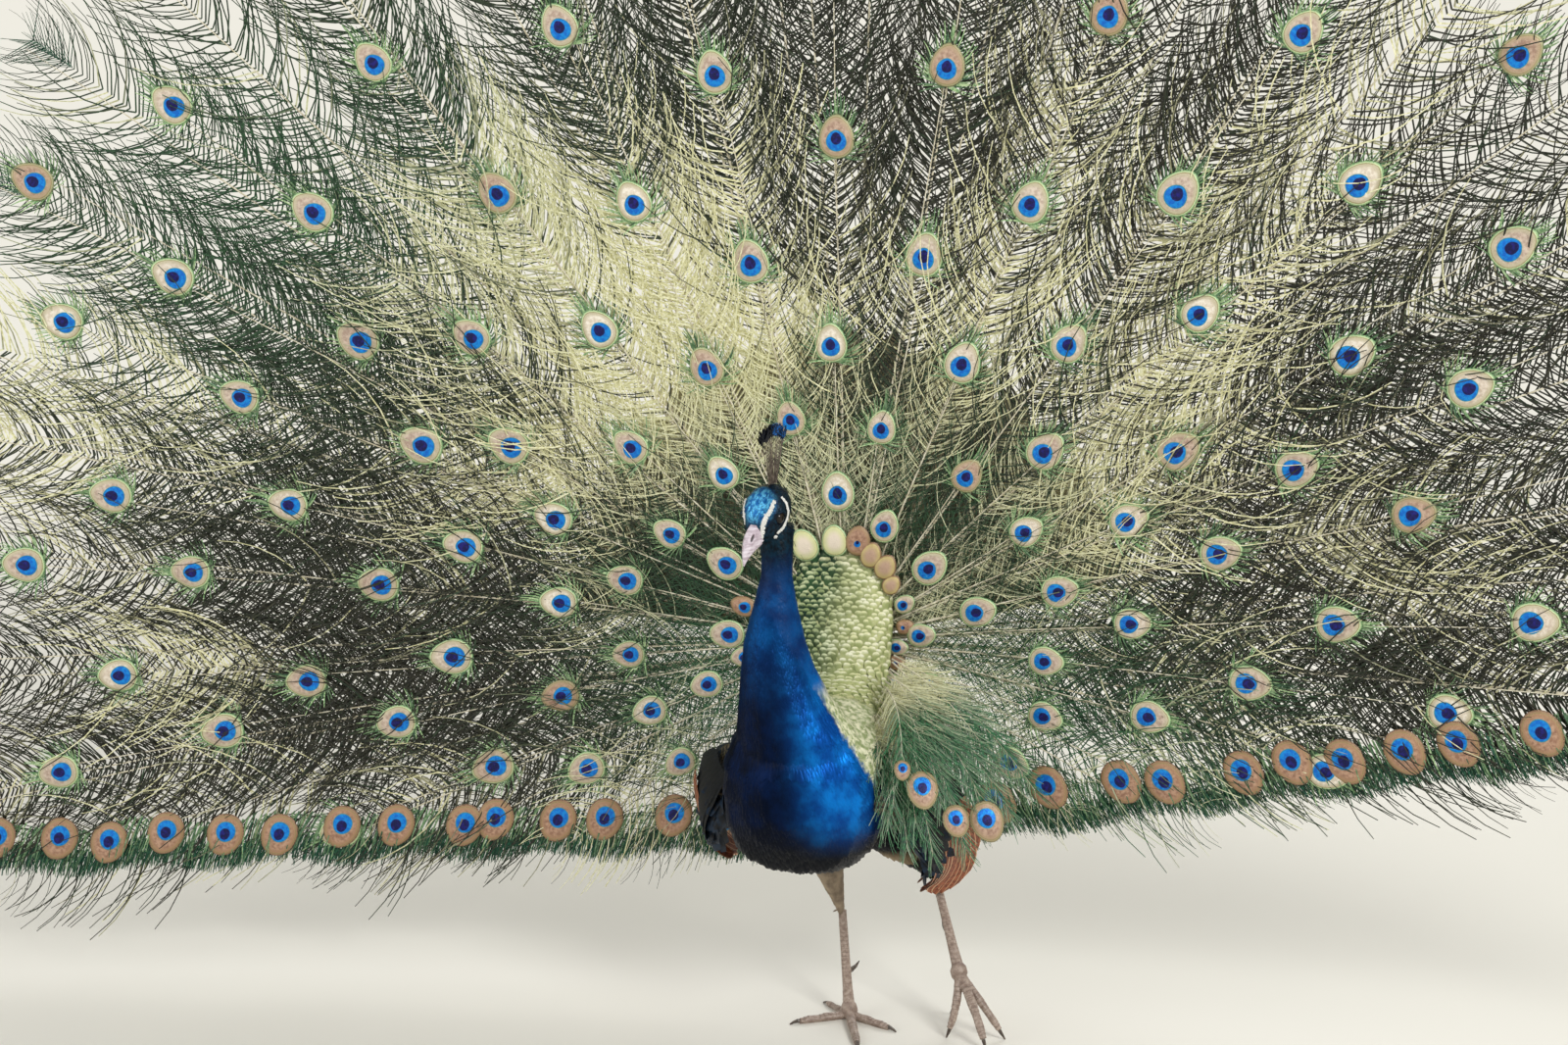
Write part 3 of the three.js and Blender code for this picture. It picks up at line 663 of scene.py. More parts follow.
def on_back(y, z):
    """Whether places are on the raised back, which has its own scales."""
    return (y + (z - 0.42) * 0.3 > -0.044) & (z > 0.335) & (y < 0.12)


height = place[:, 2]
behind = (place[:, 1] > 0.10) & (height < 0.455)
legs = (height < 0.21) & ~behind
front = ~on_back(place[:, 1], height) & ~behind & ~legs
COATS = {  # the zone, the vane and its finish, the gap between roots, length, width, tilt and seed
    "head_coat": (ease(0.606, 0.640, height) * clear,
                  SMALL_VANE, scalp_sheen, 0.0012, 0.0036, 0.0030, 0.07, 3),
    "face_stripes": (ease(0.40, 0.60, bare), SMALL_VANE, downy_white, 0.0009, 0.0022, 0.0018, 0.10, 9),
    "throat_coat": (front * ease(0.555, 0.585, height) * ease(0.655, 0.630, height) * clear,
                    SMALL_VANE, sheen, 0.0017, 0.0052, 0.0042, 0.26, 8),
    "neck_coat": (front * ease(0.625, 0.590, height) * ease(0.43, 0.47, height),
                  SMALL_VANE, sheen, 0.0024, 0.0085, 0.0052, 0.06, 4),
    "breast_coat": (front * ease(0.49, 0.44, height) * ease(0.245, 0.275, height),
                    BODY_VANE, sheen, 0.0036, 0.014, 0.0085, 0.05, 5),
    "belly_coat": (front * ease(0.285, 0.255, height), BODY_VANE, sheen, 0.0044, 0.017, 0.010, 0.06, 6),
}
for name, (zone, vane, finish, *sizes) in COATS.items():
    feather_coat(name, zone, "blue_plumage", vane, finish.material, *sizes)


# ---------------------------------------------------------------------------------------------- bill
# A short, slightly hooked horn bill, pinkish grey, with a slit nostril on each side near its root.
NOSTRIL_AHEAD, NOSTRIL_UP, NOSTRIL_SLOPE = 0.0440, 0.0060, 0.25
NOSTRIL_LONG, NOSTRIL_HIGH = 0.0046, 0.0011
NOSTRIL_DEEP, NOSTRIL_RIM = 0.0012, 0.0003
ivory = Finish("bill horn", roughness=0.38)
streak = ivory.noise(90, 4, (1, 1, 4)).over(0.3, 0.7)
pinkish = streak.mix(srgb(178, 160, 170), srgb(232, 222, 230))
# The nostril's hollow is painted near-black: painted shade inside the slit.
ivory.wear(base_color=ivory.kept("hollow").mix(pinkish, srgb(52, 42, 46)), roughness=0.30 + streak * 0.2,
           normal=ivory.bump(streak, 0.25, 0.0005))
for word in ("upper", "lower"):
    horn_piece = remeshed("horn_bill_" + word, ["bill_" + word], 0.0007, 5)
    place, way = vertices(horn_piece.data), vertices(horn_piece.data, "normal")
    ahead, aside, up = on_head(place)
    slit = np.hypot((ahead - NOSTRIL_AHEAD) / NOSTRIL_LONG,
                    (up - NOSTRIL_UP + (ahead - NOSTRIL_AHEAD) * NOSTRIL_SLOPE) / NOSTRIL_HIGH)
    hollow = ease(1.25, 0.75, slit) * (np.abs(aside) > 0.0012) * (word == "upper")
    rim = np.exp(-(((slit - 1.7) / 0.5) ** 2)) * (word == "upper")
    move(horn_piece, place - way * (hollow * NOSTRIL_DEEP - rim * NOSTRIL_RIM)[:, None])
    store(horn_piece.data, "hollow", hollow)
    wear_material(horn_piece, ivory.material)
    join_bird(horn_piece, "bill", "bill_" + word)


# ---------------------------------------------------------------------------------------------- eyes
# Dark glossy eyes with a brown iris. Each ball sits in the skin's own lids.
glance = Finish("eye", roughness=0.07, specular_ior_level=0.35)
ahead, up = glance.on_head()
gone = ((ahead - EYE_AHEAD) ** 2 + (up - EYE_UP) ** 2) ** 0.5
iris = gone.over(0.0046, 0.0054).mix(glance.mottled(600, 2, (20, 12, 8), (48, 30, 18)), srgb(10, 7, 6))
glance.wear(base_color=gone.over(0.0034, 0.0029).mix(iris, srgb(3, 2, 3)))
for word, at in EYES.items():
    ball = bmesh.new()
    pole = Matrix.Rotation(math.pi / 2, 4, Vector(AHEAD))
    bmesh.ops.create_uvsphere(ball, u_segments=36, v_segments=20, radius=EYE_RADIUS,
                              matrix=Matrix.Translation(Vector(at)) @ pole)
    for face in ball.faces:
        face.smooth = True
    mesh = bpy.data.meshes.new("eyeball_" + word)
    ball.to_mesh(mesh)
    ball.free()
    mesh.materials.append(glance.material)
    add_piece("eyeball_" + word, mesh, "eye", "eye_" + word)


# ---------------------------------------------------------------------------------------------- crest
# A fan of bare wiry shafts over the back of the crown, each with a broad blue-black tip of loose barbs.
CREST_FOOT = HEAD_AT - AHEAD * 0.031 + UPWARD * 0.018 + LEFTWARD * 0.0012
CREST_SHAFTS, CREST_HEIGHT, CREST_BASE, CREST_SPREAD, CREST_TIP = 26, 0.070, 0.0095, 0.0175, 0.0165
CREST_BARBS, BARB_FAN, BARB_HALF = 11, 0.58, 0.00115  # in each tip: how many, their spread, half-width
SHAFT_STEPS, TIP_STEPS = 8, 4
CREST_AHEAD = np.array([math.sin(HEAD_TURN), -math.cos(HEAD_TURN), 0])


class Bundle:
    """Small shapes gathered into one mesh, each vertex with its place on the map."""

    def __init__(self):
        self.spots, self.flat, self.kept, self.faces, self.count = [], [], [], [], 0

    def add(self, spots, flat, faces, kept=None):
        """Adds a shape. Its faces count their vertices from the bundle's count before it."""
        self.spots.append(spots)
        self.flat.append(flat)
        self.faces += faces
        self.count += len(spots)
        if kept is not None:
            self.kept.append(kept)

    def piece(self, name, material, slot, *replaced, keep=None):
        """The finished piece, with what it kept for its vertices under the name keep."""
        mesh = bpy.data.meshes.new(name)
        mesh.from_pydata(np.concatenate(self.spots).tolist(), [], self.faces)
        layer = mesh.uv_layers.new(name="OFBake")
        order = np.empty(len(mesh.loops), dtype=np.int32)
        mesh.loops.foreach_get("vertex_index", order)
        layer.data.foreach_set("uv", np.concatenate(self.flat)[order].astype(np.float32).ravel())
        mesh.polygons.foreach_set("use_smooth", [True] * len(mesh.polygons))
        mesh.materials.append(material)
        mesh.update()
        if keep:
            store(mesh, keep, np.concatenate(self.kept))
        add_piece(name, mesh, slot, *replaced)


def add_blade(bundle, centre, wide, half, cell, tip, thick=0.0):
    """Adds a strip of three vertices to a row along a path, with a raised middle."""
    across = np.array([-1.0, 0.0, 1.0])
    rows = len(centre)
    spots = [point + wide * (across * half[i])[:, None] + LEFTWARD * thick * (1 - across**2)[:, None]
             for i, point in enumerate(centre)]
    flat = [np.array(cell) + np.stack([across, np.full(3, i / rows * 2 - 1)], axis=-1) * 0.0014
            for i in range(rows)]
    bundle.add(np.concatenate(spots), np.concatenate(flat), grid_faces(rows - 1, 2, bundle.count),
               np.full(rows * 3, tip))


crest = Bundle()
for i in range(CREST_SHAFTS):
    share = 2 * (i + 0.5) / CREST_SHAFTS - 1
    cell = 0.1 + 0.8 * i / CREST_SHAFTS
    lean = share * CREST_SPREAD + shuffle.normal(0, 0.0005)
    height = CREST_HEIGHT - 0.0075 * share**2 - shuffle.uniform(0, 0.0025)
    steps = np.linspace(0, 1, SHAFT_STEPS + 1)
    aside = (0.0011 if i % 2 else -0.0011) * (0.3 + steps) + shuffle.normal(0, 0.0003)
    centre = (CREST_FOOT + CREST_AHEAD * (lean * steps**1.25 + share * CREST_BASE)[:, None]
              + np.array([0, 0, 1]) * ((height - CREST_TIP * 0.6) * steps - 0.003)[:, None]
              + LEFTWARD * aside[:, None])
    for wide in (CREST_AHEAD, LEFTWARD):
        add_blade(crest, centre, wide, 0.00050 - 0.00015 * steps, (cell, 0.25), 0.0)
    end = unit(centre[-1] - centre[-2])
    turned = unit(CREST_AHEAD + LEFTWARD * shuffle.normal(0, 0.35))
    steps = np.linspace(0, 1, TIP_STEPS + 1)
    for k in range(CREST_BARBS):
        fan = (2 * k / (CREST_BARBS - 1) - 1) * BARB_FAN + shuffle.normal(0, 0.06)
        outward = unit(end * math.cos(fan) + turned * math.sin(fan) + LEFTWARD * shuffle.normal(0, 0.12))
        long_barb = CREST_TIP * shuffle.uniform(0.78, 1.02) * (1 - 0.25 * abs(fan))
        # A tip kept as 1 gets the painted highlight below; one kept as 0.5 stays blue-black.
        add_blade(crest, centre[-1] - end * 0.0055 + outward * (steps * long_barb)[:, None], turned,
                  BARB_HALF * np.sin(math.pi * (steps * 0.84 + 0.12)), (cell, 0.55 + 0.03 * k),
                  1.0 if share < 0.1 else 0.5, 0.0003)

plume = Finish("crest", roughness=0.42, metallic=0.3)
tipped = plume.kept("tip")
# A painted highlight: noisy azure patches on the tips of the rear shafts, over their blue-black.
painted_glint = plume.noise(420, 2).over(0.42, 0.62) * tipped.over(0.6, 0.9)
plume.wear(base_color=tipped.over(0.1, 0.4).mix(plume.mottled(200, 2, (96, 86, 78), (150, 138, 126)),
                                                painted_glint.mix(srgb(3, 9, 24), srgb(10, 92, 168))))
crest.piece("crest_plumes", plume.material, "crest", "crest", keep="tip")


# ---------------------------------------------------------------------------------------------- back
# Round, scale-like feathers of pale gold-green with dark gaps. They lie in rows up the raised back, each row
# over the roots of the next, and grow larger and paler towards the train.
SCALE_ROW, SCALE_COLUMN = 0.0054, 0.0092  # from row to row up the back, and from feather to feather in a row
SCALE_ROWS, SCALE_COLUMNS, SCALE_EDGE = 62, 24, -0.130
SCALE_SIZE = np.array([0.0122, 0.0132, 0.0132])
SCALE_REACH, SCALE_PROUD = 0.0138, 0.0022  # a scale's tip, from its root and from the skin under it
SCALE_AIM = np.array([0, 0.87, -0.49])  # the way that the rows are laid on the back, from above and in front
SCALE_RISE = np.array([0, 0.49, 0.87])

# Plants a small shape on every point, turned and sized as the point says.
PLANT_TREE, plant_in = tree_with("plant", ("Shape", "Object"), ("Patch", "Float"), ("Material", "Material"))
turn = node(PLANT_TREE, "FunctionNodeAxesToRotation", {"primary_axis": "Z", "secondary_axis": "Y"},
            {0: named(PLANT_TREE, "face"), 1: named(PLANT_TREE, "along")})
shape = node(PLANT_TREE, "GeometryNodeObjectInfo", None, {"Object": plant_in["Shape"]})
planted = node(PLANT_TREE, "GeometryNodeInstanceOnPoints", None,
               {"Points": plant_in["Geometry"], "Instance": shape.outputs["Geometry"],
                "Rotation": turn.outputs[0], "Scale": named(PLANT_TREE, "size")})
finish_instances(PLANT_TREE, planted.outputs[0], named(PLANT_TREE, "root"), plant_in)


def plant(name, shape, material, slot, spots, size, patch=PATCH, **kept):
    """A piece with one small shape for each spot, from its size and what else is kept for the spots."""
    mesh = bpy.data.meshes.new(name + " points")
    mesh.vertices.add(len(spots))
    mesh.vertices.foreach_set("co", spots.astype(np.float32).ravel())
    store(mesh, "size", size if size.ndim > 1 else np.stack([size] * 3, axis=-1))
    for label, values in kept.items():
        store(mesh, label, values)
    bed = object_of(name + " bed", mesh)
    grown = run_tree(bed, PLANT_TREE, Shape=shape, Patch=patch, Material=material)
    bpy.data.objects.remove(bed)
    add_piece(name, grown, slot)


def scale_point(along, across):
    """A broad round vane of length 1. Its rows lie closer towards the tip, whose edge is an even arc."""
    turned = along * math.pi / 2
    half = max(0.03, math.cos(turned) ** 0.6 * min(1, 0.35 + along * 1.4) / 2)
    return (across * half, math.sin(turned), 0.03 * math.sin(turned * 2) - 0.10 * across**2 * half)


scaly = Finish("scaly back", roughness=0.55, specular_ior_level=0.25)
x, y, z = scaly.parts(scaly.spot())
tint = scaly.noise(70, 3).over(0.35, 0.65)
# Painted light: the scales are pale cream towards the bird's left side and lower down, and olive in painted
# shade towards its right and higher up.
painted_lit_side = (x - (z - 0.46) * 0.30 + scaly.noise(15, 3, (1.7, 1.0, 0.4)) * 0.07).over(-0.035, 0.040)
pale = painted_lit_side.mix(tint.mix(srgb(140, 158, 104), srgb(206, 216, 168)),
                tint.mix(srgb(232, 232, 180), srgb(253, 251, 226)))
pale = z.over(0.545, 0.585).mix(pale, tint.mix(srgb(206, 196, 160), srgb(232, 218, 192)))
pale = z.over(0.370, 0.330).mix(pale, srgb(150, 166, 108))
dark = painted_lit_side.mix(tint.mix(srgb(14, 46, 28), srgb(44, 80, 44)),
                tint.mix(srgb(158, 168, 108), srgb(200, 204, 146)))
fringed = scaly.noise(700, 2)
# Each scale is dark at its root and pale at its tip. This is partly its own colour and partly painted shade
# where the row above overlaps it, deepest on the shaded side.
shaded_roots_pale_tips = (scaly.parts("UVMap")[1] + (fringed - 0.5) * 0.35).over(0.42, 0.70).mix(dark, pale)
scaly.wear(base_color=shaded_roots_pale_tips, normal=scaly.bump(fringed, 0.3, 0.0004))

hull = BVHTree.FromPolygons(vertices(skin.data).tolist(),
                            [tuple(polygon.vertices) for polygon in skin.data.polygons])
skin_map = np.empty(len(skin.data.loops) * 2)
skin.data.uv_layers["OFBake"].data.foreach_get("uv", skin_map)
skin_map = skin_map.reshape(-1, 2)
scale_spots, scale_ways, scale_faces, scale_roots = [], [], [], []
for row in range(SCALE_ROWS):
    for column in range(SCALE_COLUMNS):
        x = SCALE_EDGE + SCALE_COLUMN * (column + 0.5 * (row % 2)) + shuffle.normal(0, 0.0011)
        start = np.array([x, 0, 0.42]) + SCALE_RISE * (row * SCALE_ROW - 0.13) - SCALE_AIM * 0.4
        for _ in range(5):
            hit, facing, number, _ = hull.ray_cast(Vector(start), Vector(SCALE_AIM))
            if hit is None:
                break
            hit, facing = np.array(hit), np.array(facing)
            if on_back(hit[1], hit[2]) and facing @ SCALE_AIM < -0.10:
                flat = np.array([shuffle.normal(0, 0.10), 0.35, 1.0])
                flat = unit(flat - facing * (flat @ facing))
                under, out, *_ = hull.find_nearest(Vector(hit + flat * SCALE_REACH))
                flat = unit(np.array(under) + np.array(out) * SCALE_PROUD - hit)
                scale_spots.append(hit - facing * 0.0004)
                scale_ways.append(flat)
                scale_faces.append(unit(facing - flat * (flat @ facing) + shuffle.normal(0, 0.06, 3)))
                scale_roots.append([*skin_map[skin.data.polygons[number].loop_start], 0])
                break
            start = hit + SCALE_AIM * 0.0005
scale_spots = np.array(scale_spots)
scale_sizes = ((1 + 0.75 * ease(0.525, 0.585, scale_spots[:, 2]))
               * shuffle.uniform(0.86, 1.12, len(scale_spots)))[:, None] * SCALE_SIZE


# ---------------------------------------------------------------------------------------------- train
# The raised train: about 180 long coverts that fan out from the back in a shallow bowl. Each is a cream
# quill with loose bronze and black barbs on both sides, and an eyespot or a fish-tail fork at its end.
FAN_ROOT = np.array([-0.022, 0.096, 0.457])
FAN_ROLL = math.radians(5.5)
FAN_RADIUS = 1.225
HEM_DROP = 0.268  # the lower edge, below the root
HEM_RISE = {1: 0.14, -1: 0.05}  # how it climbs outwards, on the bird's left and right


def bowl(across, rise, proud=0.0):
    """Places on the fan, from distances to the bird's left and up from its root, as if it were flat."""
    radius, angle = np.hypot(across, rise), np.arctan2(across, rise)
    forward = (radius / FAN_RADIUS) ** 1.7 * (0.085 + 0.115 * np.sin(angle) ** 2)
    return FAN_ROOT + np.stack([radius * np.sin(angle - FAN_ROLL), -forward - proud,
                                radius * np.cos(angle - FAN_ROLL)], axis=-1)


def bowl_axes(across, rise, heading):
    """The direction on the fan of a heading from straight up, and the way that the fan faces there."""
    step = 1e-3
    here = bowl(across, rise)
    along = unit(bowl(across + step * np.sin(heading), rise + step * np.cos(heading)) - here)
    face = unit(np.cross(bowl(across + step, rise) - here, bowl(across, rise + step) - here))
    return along, face


def ruffled(face, amount):
    """Facings turned a little at random."""
    return unit(face + shuffle.normal(0, amount, face.shape))


def reach(angle):
    """How far the fan goes at an angle from straight up, before its rim or its lower edge."""
    rise = HEM_RISE[1] if angle > 0 else HEM_RISE[-1]
    fall = rise * abs(math.sin(angle)) - math.cos(angle)
    return min(FAN_RADIUS, HEM_DROP / fall) if fall > 0 else FAN_RADIUS


def unfold(across, rise):
    """Where a place on the fan is on the map of the train."""
    return np.stack([(across + 1.26) / 2.52, (rise + 0.42) / 2.52, np.zeros_like(across)], axis=-1)


RING, FIRST_RING, RINGS = 0.109, 0.155, 10
EYED, FORKED, PLAIN = 0, 1, 2  # how a quill ends
RING_ANGLES = ((-130, -113, -96, -79, -62, -44, -20, 4, 28, 52, 70, 88, 105, 122, 139),  # degrees from up
               (-140, -123, -106, -89, -72, -55, -32, -8, 16, 40, 62, 79, 96, 113, 130))
quills = []  # angle, length and end
for ring in range(1, RINGS):
    length = FIRST_RING + RING * ring
    for angle in np.radians(RING_ANGLES[ring % 2]):
        if length + 0.055 < reach(angle):
            quills.append((angle + shuffle.normal(0, 0.016), length + shuffle.normal(0, 0.011), EYED))
for angle in np.radians(range(94, 150, 7)):
    quills += [(side * (angle + shuffle.normal(0, 0.02)), reach(side * angle) - 0.015, PLAIN)
               for side in (1, -1)]
for turn_count in range(-12, 13):
    angle = math.radians(8 * turn_count)
    quills.append((angle + shuffle.normal(0, 0.012), FAN_RADIUS - 0.018 - 0.022 * (turn_count % 2), FORKED))
quills = np.array(quills)
quill_proud = 0.017 * (1 - quills[:, 1] / FAN_RADIUS) + 0.003

BARB_WIDTH = 0.0140  # a barb's width against its length
BARB_GAP, BARB_LENGTH = 0.0056, 0.150


def ribbon_shape(name, start, end, side=1, segments=4, root=1.0, tip=0.45):
    """A barb of length 1: a narrow strip that starts at one angle and ends at another, in degrees."""
    start, end = math.radians(start), math.radians(end)
    spine = [(0.0, 0.0)]
    for i in range(segments):
        bend = start + (end - start) * (i + 0.5) / segments
        x, y = spine[-1]
        spine.append((x + side * math.sin(bend) / segments, y + math.cos(bend) / segments))

    def point(along, across):
        bend = start + (end - start) * along
        half = (root + (tip - root) * along) / 2 * across * side
        x, y = spine[round(along * segments)]
        return (x + half * math.cos(bend) * side * BARB_WIDTH, y - half * math.sin(bend) * BARB_WIDTH, 0)

    return shape_of(name, grid_mesh(name, segments, 1, point), False)


rows = []
for number, (angle, length, ending) in enumerate(quills):
    start = max(0.06, length - 0.62)
    end = length - (0.030 if ending == EYED else 0.0)
    count = int((end - start) / BARB_GAP)
    at = start + (end - start) * (np.arange(count) + shuffle.uniform(-0.3, 0.3, count)) / count
    long_barb = np.minimum(BARB_LENGTH, 0.030 + 0.30 * at) * np.clip(0.36 + (length - at) / 0.20, 0, 1)
    long_barb = long_barb * shuffle.uniform(0.82, 1.12, count)
    rows.append(np.stack([np.full(count, angle), at, long_barb, np.full(count, quill_proud[number]),
                          np.full(count, number)], axis=-1))
barbs_at = np.concatenate(rows)


def blot(across, rise, at, size):
    """1 in the middle of a soft oval on the fan, and 0 well outside it."""
    return np.exp(-(((across - at[0]) / size[0]) ** 2 + ((rise - at[1]) / size[1]) ** 2))


# Soft patches of painted light and shade on the barbs. Each: across, rise, half its width and height, and its
# strength.
LIT_AND_SHADED_PATCHES = ((-0.24, 0.26, 0.15, 0.15, 1.8), (-0.93, 0.34, 0.15, 0.20, 1.4), (-0.72, -0.12, 0.15, 0.08, 1.6),
         (-0.38, 0.52, 0.12, 0.14, 1.2), (0.34, 0.50, 0.18, 0.16, 0.6), (0.66, 0.28, 0.26, 0.14, 0.2),
         (0.22, 0.16, 0.12, 0.08, 0.8), (-0.75, 0.02, 0.20, 0.03, 0.8), (-0.15, 0.68, 0.07, 0.14, -1.2),
         (-0.52, 0.02, 0.28, 0.06, -1.0), (-0.42, -0.10, 0.26, 0.06, -1.2), (-0.60, 0.53, 0.16, 0.07, -1.3),
         (-0.54, 0.35, 0.12, 0.05, -1.2), (0.45, -0.02, 0.25, 0.06, -0.9), (0.50, 0.70, 0.20, 0.08, -0.9),
         (-0.16, 0.04, 0.10, 0.15, -1.6))
GREENS = ((0.12, -0.09, 0.14, 0.11, 1.0), (-0.62, 0.58, 0.40, 0.26, 0.45), (-0.10, -0.04, 0.16, 0.14, 0.8),
          (0.28, -0.14, 0.20, 0.08, 0.7), (0.02, 0.16, 0.10, 0.07, 0.5))
# Light and dark streaks along the feathers, partly their own tone and partly painted light and shade. Each:
# angle and half-width in degrees, where it starts and ends, its strength.
STREAKS = ((0, 4, 0.30, 0.76, -2.6), (19, 4, 0.32, 0.58, -2.0), (12, 3, 0.50, 0.80, -1.6),
           (-15, 4, 0.60, 1.00, -2.4), (-60, 6, 0.20, 0.36, -2.0), (-73, 5, 0.33, 0.62, -1.8),
           (-91, 6, 0.28, 0.66, -2.0), (42, 5, 0.18, 0.36, -1.4), (-22, 4, 0.26, 0.66, 2.6),
           (-30, 3, 0.50, 0.74, 1.8), (-8, 4, 0.18, 0.36, 2.2), (-7, 3, 0.55, 0.76, 1.8),
           (9, 3, 0.26, 0.46, 2.2), (-90, 3, 0.70, 0.86, 2.0), (-63, 5, 0.36, 0.50, 1.8),
           (40, 4, 0.34, 0.44, 1.6), (54, 6, 0.50, 0.70, 1.4))
feather_tone = shuffle.normal(0, 0.85, len(quills))


def train_tone(across, rise, radius, number):
    """How pale and how green the barbs of a feather are at places on the fan. The paleness is each feather's
    own tone with painted light and shade laid over it.
    """
    wave = (np.sin(across * 21 + 1.3 * np.sin(rise * 13)) + np.sin(rise * 17 + 1.9 * np.sin(across * 9 + 1))
            + np.sin((across - rise) * 31))
    angle = np.degrees(np.arctan2(across, rise))
    ribs = np.sin(angle * 0.55 + 1.5 * np.sin(angle * 0.13)) * ease(0.85, 0.25, radius)
    tone = wave * 0.40 + ribs * 0.7 + feather_tone[number.astype(int)] + 0.10
    tone = tone + shuffle.normal(0, 0.75, len(across))
    for at_angle, wide, near, far, strength in STREAKS:
        along = ease(near - 0.06, near, radius) * ease(far + 0.08, far, radius)
        tone = tone + strength * along * np.exp(-((angle - at_angle) / wide) ** 2)
    tone = tone - 1.25 * ease(0.35, 0.70, radius) - 0.3 * ease(0.15, 0.60, across)
    for *spot, strength in LIT_AND_SHADED_PATCHES:
        tone = tone + strength * blot(across, rise, spot[:2], spot[2:])
    green = 0.30 * ease(0.45, 0.15, radius) + shuffle.normal(0, 0.08, len(across))
    for *spot, strength in GREENS:
        green = np.maximum(green, strength * blot(across, rise, spot[:2], spot[2:]))
    return ease(0.15, 1.15, tone), np.clip(green, 0, 1)


# The pale barbs are partly a painted highlight on the metallic bronze, and the dark ones partly painted
# shade.
loose = Finish("loose barbs", roughness=0.5)
pale, green = loose.kept("pale"), loose.kept("green")
speck = loose.noise(260, 2).over(0.3, 0.7)
bronze = pale.mix(speck.mix(srgb(10, 11, 5), srgb(37, 36, 17)),
                  speck.mix(srgb(206, 202, 146), srgb(246, 243, 206)))
leafy = (pale * 0.8).mix(speck.mix(srgb(6, 58, 38), srgb(58, 128, 80)), srgb(214, 222, 188))
loose.wear(base_color=green.mix(bronze, leafy), roughness=0.35 + speck * 0.25)

for side, word in ((1, "left"), (-1, "right")):
    barb = ribbon_shape("barb " + word, 62, 10, side, segments=5)
    for half, zone in (("outer", barbs_at[:, 0] * side > 0), ("inner", barbs_at[:, 0] * side <= 0)):
        angle, at, long_barb, proud, number = barbs_at[zone].T
        across, rise = at * np.sin(angle), at * np.cos(angle)
        along, face = bowl_axes(across, rise, angle + shuffle.normal(0, 0.17, len(at)))
        face = ruffled(face, 0.10)
        pale, green = train_tone(across, rise, at, number)
        plant("train_barbs_%s_%s" % (word, half), barb, loose.material, "train", bowl(across, rise, proud),
              long_barb, along=along, face=face, root=unfold(across, rise), pale=pale, green=green)


# The quills themselves, from the back to the eyespots.
def ring_faces(first, steps, sides):
    """The faces between rings of vertices, which start at first."""
    return [(low + j, low + (j + 1) % sides, low + sides + (j + 1) % sides, low + sides + j)
            for low in range(first, first + steps * sides, sides) for j in range(sides)]


def add_tube(bundle, centre, along, face, thick, sides, cells, patch):
    """Adds a closed tube along a path, with a thickness and a place on the map for each of its rings."""
    wide = np.cross(along, face)
    turns = np.arange(sides) * 2 * math.pi / sides
    ring = np.stack([np.cos(turns), np.sin(turns)], axis=-1)
    spots = [centre[i] + thick[i] * (ring[:, :1] * wide[i] + ring[:, 1:] * face[i])
             for i in range(len(centre))]
    first, last = bundle.count, bundle.count + (len(centre) - 1) * sides
    bundle.add(np.concatenate(spots), np.concatenate([cell + ring * patch for cell in cells]),
               ring_faces(first, len(centre) - 1, sides)
               + [tuple(first + j for j in reversed(range(sides))), tuple(last + j for j in range(sides))])


QUILL_ROOT, QUILL_TIP = 0.0021, 0.0005
QUILL_SIDES, QUILL_STEPS, QUILL_START = 5, 14, 0.045
share = np.linspace(0, 1, QUILL_STEPS + 1)
train_quills = Bundle()
for (angle, length, ending), proud in zip(quills, quill_proud):
    at = QUILL_START + (length - QUILL_START - (0.018 if ending == EYED else 0)) * share
    bend = angle + 0.012 * math.sin(length * 40) * share**2
    across, rise = at * np.sin(bend), at * np.cos(bend)
    along, face = bowl_axes(across, rise, bend)
    thick = QUILL_TIP + (QUILL_ROOT * (0.5 + 0.5 * length / FAN_RADIUS) - QUILL_TIP) * (1 - share) ** 0.8
    add_tube(train_quills, bowl(across, rise, proud + 0.0012), along, face, thick, QUILL_SIDES,
             unfold(across, rise)[:, :2], 0.0012)
horn = Finish("quill", roughness=0.4)
grain = horn.noise(120, 3).over(0.3, 0.7)
horn.wear(base_color=grain.mix(srgb(196, 186, 156), srgb(236, 230, 208)), roughness=0.32 + grain * 0.2)
train_quills.piece("train_quills", horn.material, "train",
                   *[name for name in NODES if name.startswith("train_")])

# Eyespots: a tan egg that points outwards, with a blue disc and a dark heart, in pale and green rims.
EYE_LONG = 0.0232  # half the length of the tan egg
SPOT_RINGS, SPOT_SIDES = 9, 26
SPOT_REACH = 1.15  # the thin green rim, against the tan egg
CREAM, TAN, RUSTY, SMALL_HEART, BLANK_RUSTY, BLANK = -1, 0, 1, 1.4, 1.8, 2  # kinds of eyespot, and between


def egg(share, turns, blunt):
    """A point of an egg that points along y, at a share of its reach."""
    x, y = np.sin(turns), np.cos(turns)
    return share * x * 0.80 * (1 - (0.24 - blunt) * y), share * (y + (0.06 - blunt * 0.3) * np.abs(x) ** 3)


def on_fan(angle, at, proud, heading):
    """Places on the fan, and the ways along and out of it there, from angles and distances."""
    across, rise = at * np.sin(angle), at * np.cos(angle)
    return bowl(across, rise, proud), *bowl_axes(across, rise, heading)


